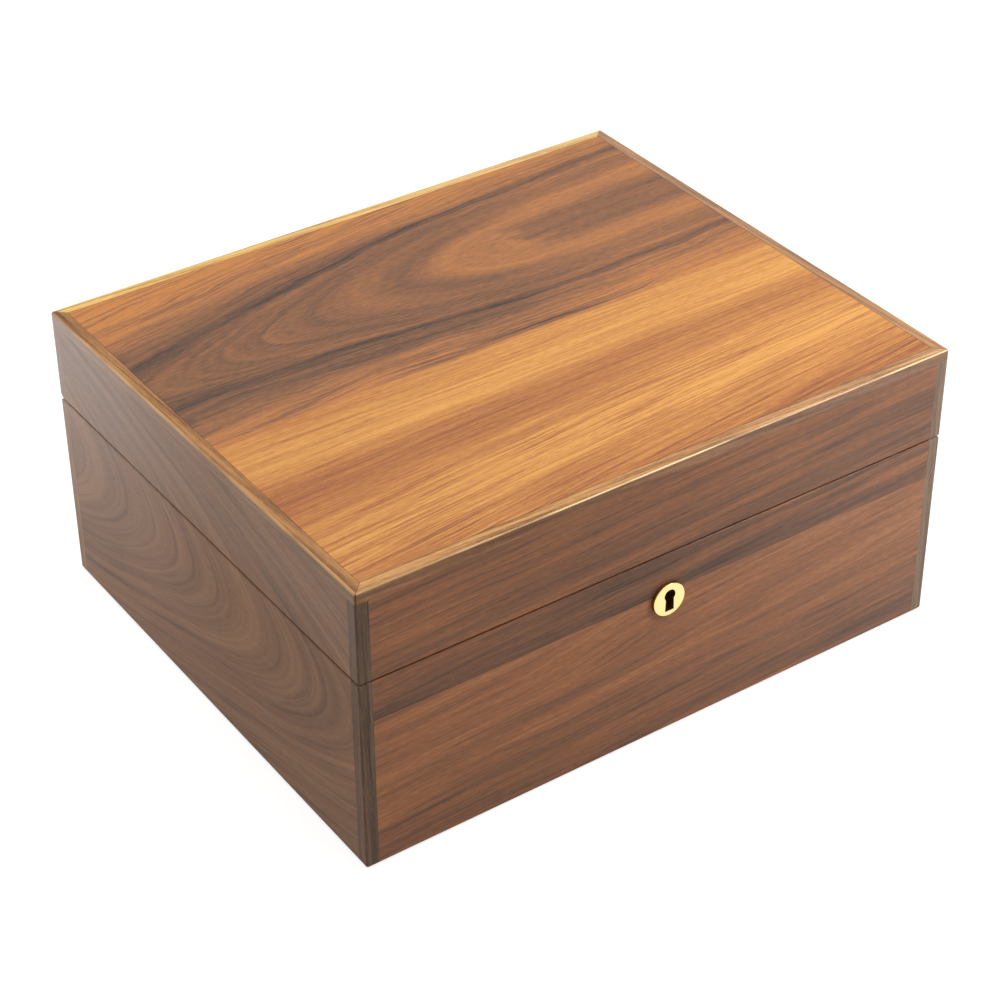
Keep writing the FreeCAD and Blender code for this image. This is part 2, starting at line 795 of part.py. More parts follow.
def lid_pieces():
    """The lid: walls, lippings, top, linings and padded card."""
    walls = lid_walls()
    front = walls["front"].cut(link_plate_bed())
    for hole in screws_at(selvedge_screw_places(), lid_bottom, screw_hole_clearance, True):
        front = front.cut(hole)
    walls["front"] = front
    walls["back"] = fit_hinges(walls["back"], lid_bottom, lid_bottom + leaf_thickness, lid_bottom, True)
    pieces = {"lid_" + side + "_panel": wall for side, wall in walls.items()}
    pieces.update({"lid_corner_" + corner: post for corner, post in lid_corners().items()})
    pieces.update({"lid_edge_" + side: strip for side, strip in lid_edges().items()})
    linings = wall_linings(lid_lining_thickness, lid_bottom + lid_lining_above_edge, top_panel_bottom)
    pieces.update({"lid_lining_" + side: card for side, card in linings.items()})
    pieces["lid_top_panel"] = top_panel()
    pieces["lid_pad"] = lid_pad()
    return pieces


def hinge_pieces():
    """Two stop hinges and their screws."""
    pieces = {}
    for name, side in (("left", -1), ("right", 1)):
        pieces["hinge_" + name + "_base_leaf"] = drilled_leaf(at_hinge(base_leaf(), side), rim_height, False)
        pieces["hinge_" + name + "_lid_leaf"] = drilled_leaf(at_hinge(lid_leaf(), side), lid_bottom, True)
        pieces["hinge_" + name + "_pin"] = at_hinge(hinge_pin(), side)
    places = leaf_screw_places()
    pieces["hinge_base_screws"] = Part.makeCompound(screws_at(places, rim_height, 0, False))
    pieces["hinge_lid_screws"] = Part.makeCompound(screws_at(places, lid_bottom, 0, True))
    return pieces


def lock_pieces():
    """The box lock, its link plate and the escutcheon."""
    places = selvedge_screw_places()
    return {
        "escutcheon": escutcheon(),
        "lock_case": lock_case(),
        "lock_cover": lock_cover(),
        "lock_bolt": lock_bolt(),
        "lock_bolt_spring": bolt_spring(),
        "lock_key_post": key_post(),
        "lock_screws": Part.makeCompound(screws_at(places, rim_height, 0, False)),
        "link_plate": link_plate(),
        "link_plate_screws": Part.makeCompound(screws_at(places, lid_bottom, 0, True)),
    }


def tray_pieces():
    """The lift-out tray, its dividers and its cushions."""
    pieces = {
        "tray_floor": tray_floor(),
        "tray_long_walls": tray_long_walls(),
        "tray_end_walls": tray_end_walls(),
        "tray_long_dividers": tray_long_dividers(),
        "tray_cross_dividers": tray_cross_dividers(),
    }
    for number, row in enumerate(cushion_rows(), 1):
        pieces["watch_cushions_row_" + str(number)] = row
    return pieces


os.makedirs("parts", exist_ok=True)
for group in (base_pieces(), lid_pieces(), hinge_pieces(), lock_pieces(), tray_pieces()):
    for node, shape in group.items():
        shape.exportStep("parts/" + node + ".step")
        print(node, len(shape.Solids), "solids", round(shape.Volume, 1), "cubic mm")
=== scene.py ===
# %% [markdown]
# # A walnut watch box
#
# The carcase, the hinges, the lock and the tray come from the CAD frame, and
# their meshes stay as they are. This script gives them their finishes and
# makes what is soft or too fine for CAD: the stuffed cushions, the padded lid
# lining, the felt underneath and the slotted screws. Loading the frame first
# means that every later piece can take its place from a CAD node's corners.

import math

import bmesh
import bpy
from mathutils import Matrix, Vector


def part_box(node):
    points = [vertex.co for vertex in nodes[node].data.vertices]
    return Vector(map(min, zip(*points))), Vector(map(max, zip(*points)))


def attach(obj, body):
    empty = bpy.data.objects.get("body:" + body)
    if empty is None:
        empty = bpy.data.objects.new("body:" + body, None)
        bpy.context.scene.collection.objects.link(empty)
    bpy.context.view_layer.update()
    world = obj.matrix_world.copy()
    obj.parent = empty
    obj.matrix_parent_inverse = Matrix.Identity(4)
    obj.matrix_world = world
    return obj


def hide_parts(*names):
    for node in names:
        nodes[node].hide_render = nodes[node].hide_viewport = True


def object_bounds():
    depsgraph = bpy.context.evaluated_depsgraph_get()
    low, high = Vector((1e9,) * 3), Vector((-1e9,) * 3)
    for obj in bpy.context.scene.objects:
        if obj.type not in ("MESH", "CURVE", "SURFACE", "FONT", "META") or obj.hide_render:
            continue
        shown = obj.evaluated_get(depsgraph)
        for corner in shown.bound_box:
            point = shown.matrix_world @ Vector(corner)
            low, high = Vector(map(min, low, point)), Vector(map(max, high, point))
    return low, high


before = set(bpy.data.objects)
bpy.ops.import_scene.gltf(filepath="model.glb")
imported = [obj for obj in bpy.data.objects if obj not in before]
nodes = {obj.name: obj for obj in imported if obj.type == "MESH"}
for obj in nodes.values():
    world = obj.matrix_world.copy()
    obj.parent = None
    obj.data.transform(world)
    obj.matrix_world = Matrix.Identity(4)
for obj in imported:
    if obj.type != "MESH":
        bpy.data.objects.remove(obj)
cad_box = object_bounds()
MM = 0.001

# %% [markdown]
# ## The camera
#
# The box was photographed from above its front left corner with a long lens.
# A camera can be aimed with a Track To constraint, but then its small roll is
# lost. Here its three axes are worked out from the turn, the tilt and the
# roll, and they become the columns of its matrix.

# %% The camera
CAMERA_TURN = math.radians(-34.617)
CAMERA_TILT = math.radians(35.312)
CAMERA_ROLL = math.radians(-0.324)
CAMERA_DISTANCE = 1.15369
CAMERA_ASIDE = 0.00210
CAMERA_ABOVE = -0.01640
LENS_MM = 92.64
SENSOR_MM = 36.0
NEAREST_SEEN = 0.05

box_middle = (cad_box[0] + cad_box[1]) / 2
back = Vector((math.sin(CAMERA_TURN) * math.cos(CAMERA_TILT),
               -math.cos(CAMERA_TURN) * math.cos(CAMERA_TILT),
               math.sin(CAMERA_TILT)))
level_right = Vector((math.cos(CAMERA_TURN), math.sin(CAMERA_TURN), 0))
level_up = back.cross(level_right)
right = level_right * math.cos(CAMERA_ROLL) + level_up * math.sin(CAMERA_ROLL)
up = level_up * math.cos(CAMERA_ROLL) - level_right * math.sin(CAMERA_ROLL)

camera = bpy.data.objects.new("camera", bpy.data.cameras.new("camera"))
camera.data.lens = LENS_MM
camera.data.sensor_width = SENSOR_MM
camera.data.clip_start = NEAREST_SEEN
eye = (box_middle + back * CAMERA_DISTANCE + level_right * CAMERA_ASIDE
       + level_up * CAMERA_ABOVE)
camera.matrix_world = (Matrix.Translation(eye)
                       @ Matrix((right, up, back)).transposed().to_4x4())
bpy.context.collection.objects.link(camera)
bpy.context.scene.camera = camera
print("camera at", [round(value, 3) for value in eye])

# %% [markdown]
# ## Arithmetic on sockets
#
# A finish is mostly arithmetic on coordinates and noise. Adding each Math node
# by hand hides the formula, so one small class wraps an output socket, and
# Python's own operators add the Math nodes. Every other node comes from one
# method, which sets the node's settings first and then its sockets.

# %% The socket class
class Field:
    """One output of a node tree, which Python's arithmetic can work on."""

    def __init__(self, tree, socket=None):
        self.tree = tree
        self.socket = socket

    def node(self, kind, settings=(), sockets=(), output=0):
        """Adds a node of any kind and gives one of its outputs."""
        made = self.tree.nodes.new("ShaderNode" + kind)
        for name, value in dict(settings).items():
            if name == "stops":
                fill_ramp(made.color_ramp, value)
            else:
                setattr(made, name, value)
        for name, value in dict(sockets).items():
            if isinstance(value, Field):
                self.tree.links.new(value.socket, made.inputs[name])
            else:
                made.inputs[name].default_value = value
        return Field(self.tree, made.outputs[output] if made.outputs else None)

    def math(self, operation, *values):
        return self.node("Math", {"operation": operation}, enumerate(values))

    def __add__(self, other):
        return self.math("ADD", self, other)

    __radd__ = __add__

    def __sub__(self, other):
        return self.math("SUBTRACT", self, other)

    def __rsub__(self, other):
        return self.math("SUBTRACT", other, self)

    def __mul__(self, other):
        return self.math("MULTIPLY", self, other)

    __rmul__ = __mul__

    def __truediv__(self, other):
        return self.math("DIVIDE", self, other)

    def __rtruediv__(self, other):
        return self.math("DIVIDE", other, self)

    def __neg__(self):
        return self.math("MULTIPLY", self, -1)

    def __abs__(self):
        return self.math("ABSOLUTE", self)


def fill_ramp(ramp, stops):
    """Puts (position, colour) stops into a new ramp, for its own two."""
    while len(ramp.elements) > 1:
        ramp.elements.remove(ramp.elements[-1])
    ramp.elements[0].position, ramp.elements[0].color = stops[0]
    for position, colour in stops[1:]:
        ramp.elements.new(position).color = colour


def new_material(name):
    """An empty node material, as a Field that has no socket yet."""
    material = bpy.data.materials.new(name)
    material.use_nodes = True
    material.node_tree.nodes.clear()
    return Field(material.node_tree)


print("sockets take", [name for name in vars(Field) if name.startswith("__")])

# %% [markdown]
# ## Helpers for patterns
#
# Colours are written as they look on screen, from 0 to 255, and turned into
# the linear values that shaders need. Patterns are measured in millimetres on
# the piece itself, so that a figure keeps its real size and stays on the piece
# when the lid swings.

# %% Helpers for patterns
MM_IN_METRE = 1000
NOISE_ROUGHNESS = 0.55


def tone(red, green, blue):
    """A screen colour as a linear one."""
    linear = []
    for value in (red, green, blue):
        value /= 255
        linear.append(value / 12.92 if value <= 0.04045
                      else ((value + 0.055) / 1.055) ** 2.4)
    return (*linear, 1.0)


def millimetres(tree):
    """The place on the piece as three Fields, in millimetres."""
    place = tree.node("TexCoord", output="Object")
    scaled = tree.node("Mapping", {}, {"Vector": place,
                                       "Scale": (MM_IN_METRE,) * 3})
    return [tree.node("SeparateXYZ", {}, {"Vector": scaled}, output=axis)
            for axis in "XYZ"]


def smooth(field, low, high):
    """0 below low, 1 above high and a soft step between."""
    return field.node("MapRange", {"interpolation_type": "SMOOTHSTEP"},
                      {"Value": field, "From Min": low, "From Max": high})


def mix(factor, first, second):
    """The first colour where factor is 0 and the second where it is 1."""
    owner = factor if isinstance(factor, Field) else first
    return owner.node("Mix", {"data_type": "RGBA"},
                      {0: factor, 6: first, 7: second}, output=2)


def ramp(field, *stops):
    """The colour at a value, from (value, colour) stops in rising order."""
    low, reach = stops[0][0], stops[-1][0] - stops[0][0]
    places = [((value - low) / reach, colour) for value, colour in stops]
    return field.node("ValToRGB", {"stops": places},
                      {"Fac": (field - low) / reach})


def grain_noise(along, across, length, width, seed, detail=2.0):
    """Noise from 0 to 1 whose spots have that length and width."""
    place = along.node("CombineXYZ", {}, {"X": along / length + seed,
                                          "Y": across / width + seed})
    return along.node("TexNoise", {"noise_dimensions": "2D"},
                      {"Vector": place, "Scale": 1.0, "Detail": detail,
                       "Roughness": NOISE_ROUGHNESS})


def cloud(tree, size, detail=2.0):
    """Noise from 0 to 1 with round spots of that size in millimetres."""
    place = tree.node("TexCoord", output="Object")
    return tree.node("TexNoise", {}, {
        "Vector": place, "Scale": MM_IN_METRE / size, "Detail": detail})


def paint(name, *node_names):
    """Gives CAD nodes a material."""
    for node_name in node_names:
        slots = nodes[node_name].data.materials
        slots.clear()
        slots.append(bpy.data.materials[name])


print("white is", tone(255, 255, 255))

# %% [markdown]
# ## Light, floor and backdrop
#
# A product picture has a pale floor that runs into a white backdrop. Lighting
# the floor until it burns out would burn the lacquer too. Instead the floor
# glows a little for the camera and for reflections only, which the Light Path
# node can tell apart, and the object's soft shadow still falls on it.

# %% Light, floor and backdrop
WORLD_LIGHT = 0.34
FLOOR_GLOW = 0.75
FLOOR_SIZE = 6.0


def seen(tree):
    """1 for rays from the camera, a reflection or a clear piece."""
    kinds = [tree.node("LightPath", output="Is %s Ray" % kind)
             for kind in ("Camera", "Glossy", "Transmission")]
    either = tree.math("MAXIMUM", kinds[0], kinds[1])
    return tree.math("MAXIMUM", either, kinds[2])


world = bpy.data.worlds.new("studio")
world.use_nodes = True
world.node_tree.nodes.clear()
bpy.context.scene.world = world
air = Field(world.node_tree)
air.node("OutputWorld", {}, {"Surface": air.node("Background", {}, {
    "Color": (1, 1, 1, 1),
    "Strength": WORLD_LIGHT + (1 - WORLD_LIGHT) * seen(air)})})

paper = new_material("floor_paper")
matte = paper.node("BsdfDiffuse", {}, {"Color": (0.5, 0.5, 0.5, 1)})
glow = paper.node("Emission", {}, {"Strength": FLOOR_GLOW * seen(paper)})
paper.node("OutputMaterial", {}, {
    "Surface": paper.node("AddShader", {}, {0: matte, 1: glow})})

floor_mesh = bmesh.new()
bmesh.ops.create_grid(floor_mesh, x_segments=1, y_segments=1,
                      size=FLOOR_SIZE)
floor = bpy.data.objects.new("floor", bpy.data.meshes.new("floor"))
floor_mesh.to_mesh(floor.data)
floor_mesh.free()
floor.data.materials.append(bpy.data.materials["floor_paper"])
bpy.context.collection.objects.link(floor)


def softbox(name, place, aim, size, watts):
    """A square lamp at a place that faces a point."""
    lamp = bpy.data.lights.new(name, "AREA")
    lamp.size = size
    lamp.energy = watts
    holder = bpy.data.objects.new(name, lamp)
    holder.location = place
    facing = Vector(aim) - Vector(place)
    holder.rotation_euler = facing.to_track_quat("-Z", "Y").to_euler()
    holder.visible_camera = False
    bpy.context.collection.objects.link(holder)


softbox("overhead", place=(0.1, 0.1, 1.5), aim=(0, 0, 0.1), size=1.6, watts=14)
softbox("right_front", place=(0.36, -0.45, 0.50), aim=(0.06, -0.12, 0.10),
        size=0.25, watts=1.9)
softbox("left_back", place=(-0.55, 0.45, 0.30), aim=(-0.1, 0.1, 0.07),
        size=0.35, watts=1.2)
bpy.context.scene.view_settings.view_transform = "Standard"
print("lamps", [light.name for light in bpy.data.lights])

# %% [markdown]
# ## Lacquered walnut
#
# Veneer is a thin slice of a log, so its figure is a slice through growth
# rings. Where the knife runs nearly along the rings it leaves nested V shapes
# with an eye inside them. A wave texture gives stripes that are too regular,
# so each figure here starts from a lane: a number that stays the same along a
# growth ring. Bands, lines, fine lines and pores are noise drawn out along the
# lanes. One more number, the shade, adds them up, and a palette turns the
# shade into a colour. Short fibres run over everything, because from near by
# they are what the eye takes for wood. A satin lacquer lies on top. Hands dull
# it, so its coat is thin where the box is touched and full where it is not.

# %% Lacquer
UMBER = tone(66, 48, 38)
DULLED_COAT = 0.05
BAND_LENGTH, LINE_LENGTH, FINE_LENGTH, PORE_LENGTH = 170, 120, 45, 60
PORE_STEP, PORE_MEAN = (0.3, 0.42), 0.85
LONG_FIBRE, SHORT_FIBRE = (32, 0.8), (5, 0.6)
FIBRE_RELIEF = {"Strength": 0.14, "Distance": 0.0002}
SATIN = {"IOR": 1.45, "Specular IOR Level": 0.06, "Coat Roughness": 0.2}


def grey(value):
    return (value, value, value, 1.0)


def profile(field, *stops):
    """The shade at a value, from (value, shade) stops in rising order."""
    greys = ramp(field, *((value, grey(shade)) for value, shade in stops))
    return greys * 1.0  # a Math node makes one number of the grey


def streaks(along, lane, widths, weights, seed):
    """What bands, lines, fine lines and pores add to the shade."""
    band, line, hair = widths
    bands = grain_noise(along, lane, BAND_LENGTH, band, seed)
    lines = grain_noise(along, lane, LINE_LENGTH, line, seed + 2.7, detail=3.0)
    fine = grain_noise(along, lane, FINE_LENGTH, hair, seed + 6.3, detail=1.0)
    pores = grain_noise(along, lane, PORE_LENGTH, line, seed + 9.1, detail=1.0)
    return (weights[0] * (0.5 - bands) + weights[1] * (0.5 - lines)
            + weights[2] * (0.5 - fine)
            + weights[3] * (PORE_MEAN - smooth(pores, *PORE_STEP)))


def fibres(along, across, seed):
    """Short strokes along the grain, from 0, dark, to 1."""
    long = grain_noise(along, across, *LONG_FIBRE, seed)
    short = grain_noise(along, across, *SHORT_FIBRE, seed + 5, detail=1.0)
    return 0.4 * long + 0.6 * short


def lacquer(wood, colour, fibre, coat=DULLED_COAT):
    """Ends a wood with its lacquer. Fibres give the relief and the gloss."""
    relief = wood.node("Bump", {}, {**FIBRE_RELIEF, "Height": fibre})
    shader = wood.node("BsdfPrincipled", {}, {
        **SATIN, "Base Color": colour, "Roughness": 0.46 - 0.12 * fibre,
        "Normal": relief, "Coat Weight": coat})
    wood.node("OutputMaterial", {}, {"Surface": shader})


print("glue lines", [round(value, 3) for value in UMBER[:3]])

# %% [markdown]
# ## The top
#
# One sheet of veneer covers the top. Its back half is dark heartwood with an
# eye and nested V shapes that open to the right, and its front half is golden
# sapwood with straight, slightly fanned streaks. The heartwood's lane is the
# distance to the log's axis, the sapwood's is the distance in front of the
# line where the two meet. The rings are darker near the tips of the V shapes
# than at their roots, so there are two profiles and a slow change between. All
# lengths were measured on the top, in millimetres.

# %% The top veneer
HEARTWOOD = ((-0.05, tone(203, 135, 77)), (0.24, tone(177, 120, 79)),
             (0.54, tone(149, 104, 75)), (0.84, tone(120, 88, 70)),
             (1.11, tone(93, 75, 64)), (1.4, tone(74, 61, 54)))
SAPWOOD = ((0.0, tone(226, 165, 94)), (0.27, tone(208, 146, 84)),
           (0.58, tone(187, 125, 76)), (0.9, tone(165, 106, 70)),
           (1.25, tone(140, 88, 62)))
AXIS_Y, AXIS_SLOPE, AXIS_BEND = 56, 0.04, 0.00036
EYE_X, EYE_REACH, EYE_CLOSING = 60, 46, 90
MEETING_Y, FAN, LEAN = -8.75, 0.0012, -0.02
MEETING_SWAY, MEETING_BLUR = 3, (-0.5, 0.7)
RING_SWAY, RING_RIPPLE = 6, 7
TIPS = ((0, 0.27), (18, 0.32), (22, 0.5), (25, 0.72), (29, 0.62), (33, 0.66),
        (36, 0.76), (41, 0.68), (43, 1.0), (45, 1.0), (47, 0.74), (51, 0.7),
        (55, 0.5), (60, 0.3), (66, 0.28), (72, 0.1), (80, 0.0))
ROOTS = ((0, 0.36), (14, 0.3), (20, 0.26), (24, 0.15), (27, 0.36), (30, 0.48),
         (36, 0.5), (40, 0.46), (42, 0.8), (44, 0.8), (46.5, 0.46), (52, 0.33),
         (57, 0.18), (64, 0.14), (80, 0.1))
SAP = ((0, 0.5), (4, 0.36), (12, 0.33), (24, 0.2), (28, 0.22), (32, 0.36),
       (36, 0.53), (40, 0.75), (46, 0.72), (52, 0.66), (60, 0.48), (68, 0.36),
       (76, 0.25), (88, 0.33), (92, 0.5), (100, 0.57), (112, 0.73), (124, 0.9))
SAP_PALING = 0.0007
OPENING_X, OPENING_EARLIER = (10, 95), 90
OUTER_RINGS, BACK_OFFSETS = (45, 51), (-5, 5)
BROWN_FROM, BROWN_TO, BROWN_SHADE = (46, 50), (58, 72), 0.12
CORE_X, CORE_OFFSETS, CORE_SHADE = (56, 70), (9, 17), 0.32
CORE_RAGGED = 90
LAST_RING, LAST_RING_SHADE = (-6.5, -2), 0.4
LAST_RING_MIDDLE, LAST_RING_X = 5, (30, 90)
LIVELY_LANES, OUTER_LANES = (26, 46), (50, 70)
TOP_WIDTHS, TOP_WEIGHTS = (5.5, 1.6, 0.55), (0.6, 0.5, 0.2)
TOP_BANDS, TOP_FIBRE = 0.45, 0.9
GLUE_LINE, GLUE_SHARE = (0.45, 0.15), 0.6


def top_veneer():
    wood = new_material("walnut_top")
    x, y, _ = millimetres(wood)
    sway = grain_noise(x, y, 150, 55, 4.2) - 0.5
    ripple = grain_noise(x, y, 60, 14, 9.7) - 0.5
    to_left = wood.math("MAXIMUM", -x, 0)
    axis = AXIS_Y + AXIS_SLOPE * x - AXIS_BEND * to_left * to_left
    offset = y + RING_SWAY * sway + RING_RIPPLE * ripple - axis
    left_of_eye = wood.math("MAXIMUM", EYE_X - x, 0)
    reach = EYE_REACH * (1 - wood.math("EXPONENT", left_of_eye / -EYE_CLOSING))
    ring = wood.math("SQRT", offset * offset + reach * reach)
    tips, roots = profile(ring, *TIPS), profile(ring, *ROOTS)
    at_back = smooth(offset, *BACK_OFFSETS)
    early = OPENING_EARLIER * smooth(ring, *OUTER_RINGS) * at_back
    opening = smooth(x + early, *OPENING_X)
    brown = smooth(ring, *BROWN_FROM) * (1 - smooth(ring, *BROWN_TO))
    heart = (tips + opening * (roots - tips)
             + BROWN_SHADE * (1 - at_back) * brown)
    core = (smooth(x + CORE_RAGGED * ripple, *CORE_X)
            * (1 - smooth(abs(offset), *CORE_OFFSETS)))

    below = (MEETING_Y - y
             + MEETING_SWAY * (grain_noise(x, y, 120, 60, 2.4) - 0.5))
    streak = below + FAN * x * below + LEAN * x
    sap = profile(streak, *SAP) - SAP_PALING * x
    meeting = smooth(below, *MEETING_BLUR)
    last_ring = (smooth(below, *LAST_RING)
                 * (1 - smooth(abs(x - LAST_RING_MIDDLE), *LAST_RING_X)))

    lane = ring + meeting * (streak - ring)
    fibre = fibres(x, y, 3.1)
    lively = (0.2 + 0.8 * smooth(lane + 40 * meeting, *LIVELY_LANES)
              + 0.8 * smooth(lane, *OUTER_LANES))
    weights = (TOP_BANDS, *(weight * lively for weight in TOP_WEIGHTS))
    grain = streaks(x, lane, TOP_WIDTHS, weights, 6.1)
    grain = grain + TOP_FIBRE * (0.5 - fibre)
    shade = heart + CORE_SHADE * core + LAST_RING_SHADE * last_ring + grain
    colour = mix(meeting, ramp(shade, *HEARTWOOD), ramp(sap + grain, *SAPWOOD))

    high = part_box("lid_top_panel")[1] / MM
    start, end = GLUE_LINE
    joint = wood.math("MAXIMUM",
                      smooth(abs(x), high.x - start, high.x - end),
                      smooth(abs(y), high.y - start, high.y - end))
    lacquer(wood, mix(GLUE_SHARE * joint, colour, UMBER), fibre)
    paint("walnut_top", "lid_top_panel")
    return wood


print("top veneer", len(top_veneer().tree.nodes), "nodes")

# %% [markdown]
# ## The walls
#
# The walls are the same log cut another way. On the front and the back the
# grain runs level and rises a little to one side, with a second, darker strip
# of veneer under the seam. On the sides the knife crossed the rings, which
# leaves nested arches that go on from the base into the lid: there the lane is
# a parabola. One function makes all of them from a lane and from the shade at
# each level. Along the seam a fine amber line is painted: a painted reflection
# of the light seen in the gap between lid and base.

# %% The wall veneers
FRONT_WOOD = ((0.0, tone(192, 133, 92)), (0.25, tone(169, 113, 79)),
              (0.5, tone(142, 100, 76)), (0.75, tone(120, 88, 71)),
              (1.0, tone(102, 77, 63)), (1.3, tone(80, 62, 52)))
SIDE_WOOD = ((0.0, tone(164, 119, 84)), (0.45, tone(138, 98, 69)),
             (0.9, tone(110, 79, 57)), (1.3, tone(86, 62, 47)))
# Painted reflection: amber colours for the seam, standing in for light seen in the gap.
SEAM_REFLECTION_COLOURS = ((0.25, tone(78, 44, 25)), (0.75, tone(128, 77, 44)))
BASE_LEVELS = ((0, 0.56), (8, 0.58), (14, 0.4), (22, 0.5), (28, 0.34),
               (36, 0.31), (40, 0.26), (47, 0.33), (53, 0.27), (74, 0.28))
STRIP_LEVELS = ((75, 0.78), (80, 0.68), (87, 0.52), (92, 0.66), (96, 0.62))
LID_LEVELS = ((95, 0.48), (104, 0.44), (110, 0.56), (113, 0.52), (117, 0.42),
              (124, 0.5), (128, 0.4), (140, 0.4))
SIDE_LEVELS = ((0, 0.5), (40, 0.45), (95, 0.42), (140, 0.45))
STRIP_LEVEL, STRIP_BLUR = 75.5, 0.15
LEVEL_RISE = 0.05
TONGUE_X, TONGUE_Z, TONGUE_DROP = (-80, 10), (40, 66), 10
ARCH_SPREAD = 27
WALL_SWAY, WALL_FIBRE, FIBRE_SLANT = 5, 0.7, 0.8
LEVEL_WIDTHS, LEVEL_WEIGHTS = (9, 2.0, 0.7), (0.75, 0.5, 0.3, 0.2)
ARCH_WIDTHS, ARCH_WEIGHTS = (16, 5, 1.6), (1.0, 0.6, 0.3, 0.25)
EDGE_BELOW, EDGE_ABOVE, SEAM_REFLECTION_SHARE = (0.9, 0.6), (0.2, 0.5), 0.8


def level_lane(x, z, turn):
    """Level grain that rises to the right (turn 1) or to the left (-1)."""
    tongue = smooth(turn * x, *TONGUE_X) * smooth(z, *TONGUE_Z)
    drop = TONGUE_DROP * tongue * (1 - smooth(z, 75, 76))
    return z - LEVEL_RISE * turn * x - drop


def arched_lane(y, z, turn, tip_level):
    """Nested arches with their tips at one level, to the front (1) or back."""
    rise = z - tip_level
    return rise * rise / ARCH_SPREAD - turn * y


def side_coat(y, z):
    """The lacquer's coat on a side: full at the top of the untouched back."""
    untouched = smooth(y, -40, 150) * (0.2 + 0.8 * smooth(z, 10, 130))
    return DULLED_COAT + 0.68 * untouched + 0.2 * smooth(z, 80, 125)


def front_coat(x):
    """The coat on the front and the back: the right end is touched least."""
    return 0.1 + 0.3 * smooth(x, -60, 150)


def wall_veneer(name, colours, levels, seed, turn, tip_level=None, strip=None):
    """A level veneer, or an arched one where tip_level is given."""
    wood = new_material(name)
    x, y, z = millimetres(wood)
    along, depth = (y, x) if tip_level else (x, y)
    sway = grain_noise(along, z, 110, 45, seed) - 0.5
    ripple = grain_noise(along, z, 50, 12, seed + 3) - 0.5
    height = z + WALL_SWAY * sway + ripple
    fibre = fibres(along, z + FIBRE_SLANT * depth, seed + 17)
    if tip_level:
        lane = arched_lane(y, height, turn, tip_level)
        shade = profile(height, *levels)
        grain = streaks(along, lane, ARCH_WIDTHS, ARCH_WEIGHTS, seed + 7)
        coat = side_coat(y, z)
    else:
        lane = level_lane(x, height, turn)
        shade = profile(lane, *levels)
        grain = streaks(along, lane, LEVEL_WIDTHS, LEVEL_WEIGHTS, seed + 7)
        coat = front_coat(x)
    if strip:
        # Painted light: the base is painted lighter towards the right end, where the front
        # lamp falls.
        shade = shade - 0.05 * smooth(x, 0, 110)
        in_strip = smooth(z + 0.4 * ripple, strip - STRIP_BLUR,
                          strip + STRIP_BLUR)
        shade = shade + in_strip * (profile(z, *STRIP_LEVELS) - shade)
        low = 1 - smooth(z, 15, 45)
        grain = grain * (0.8 + 0.5 * in_strip + 0.3 * low)
    colour = ramp(shade + grain + WALL_FIBRE * (0.5 - fibre), *colours)
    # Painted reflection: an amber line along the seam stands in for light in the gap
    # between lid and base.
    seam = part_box("lid_front_panel")[0].z / MM
    edge = (smooth(z, *(seam - reach for reach in EDGE_BELOW))
            * (1 - smooth(z, *(seam + reach for reach in EDGE_ABOVE))))
    seam_reflection = ramp(fibre, *SEAM_REFLECTION_COLOURS)
    lacquer(wood, mix(SEAM_REFLECTION_SHARE * edge, colour, seam_reflection), fibre, coat)


wall_veneer("walnut_front_base", FRONT_WOOD, BASE_LEVELS, 2.7, 1,
            strip=STRIP_LEVEL)
wall_veneer("walnut_front_lid", FRONT_WOOD, LID_LEVELS, 5.9, 1)
wall_veneer("walnut_back_base", FRONT_WOOD, BASE_LEVELS, 12.3, -1,
            strip=STRIP_LEVEL)
wall_veneer("walnut_back_lid", FRONT_WOOD, LID_LEVELS, 15.2, -1)
wall_veneer("walnut_left", SIDE_WOOD, SIDE_LEVELS, 8.8, 1, tip_level=74)
wall_veneer("walnut_right", SIDE_WOOD, SIDE_LEVELS, 21.6, -1, tip_level=66)
for side in ("front", "back"):
    for body in ("base", "lid"):
        paint("walnut_%s_%s" % (side, body), "%s_%s_panel" % (body, side))
for side in ("left", "right"):
    paint("walnut_" + side, "base_%s_panel" % side, "lid_%s_panel" % side)
print("walls", [m.name for m in bpy.data.materials if "walnut" in m.name])

# %% [markdown]
# ## The lippings
#
# Strips of solid walnut cover the edges where the veneer would chip. Those
# round the top are cut where pale sapwood lies on heartwood, so they are pale
# above and as brown as the walls on their outer faces. They are mitred at the
# corners, and a fine dark glue line runs along each mitre. Along their arris
# a painted highlight lies in patches, where the coat is fuller too. An edge
# could be picked out by its angle, but the distances to the box's faces are
# known, so they tell where a point lies.

# %% The top lippings
# Painted highlights: the colours laid on the arris where a lamp's reflection shows.
BRIGHT_ARRIS_HIGHLIGHT, GOLDEN_ARRIS_HIGHLIGHT = tone(255, 226, 174), tone(206, 156, 96)
ARRIS_WIDTH, MITRE_WIDTH, MITRE_SHARE = (0.62, 0.72), (0.1, 0.35), 0.75
LEAST_HIGHLIGHT_POLISH, MORE_HIGHLIGHT_POLISH = 0.25, 0.6
POLISHED_COAT = 0.6


def palette(light, middle, dark):
    """Three screen colours for the shades 0, 0.5 and 1."""
    return ((0.0, tone(*light)), (0.5, tone(*middle)), (1.0, tone(*dark)))


FRONT_FACE = palette((176, 130, 96), (148, 107, 79), (116, 82, 62))
SIDE_FACE = palette((172, 130, 96), (152, 113, 83), (124, 92, 69))
FRONT_ABOVE = palette((222, 172, 114), (184, 134, 86), (116, 80, 54))
BACK_ABOVE = palette((244, 202, 128), (226, 180, 108), (166, 118, 68))
SIDE_ABOVE = palette((190, 142, 92), (164, 117, 76), (112, 80, 56))


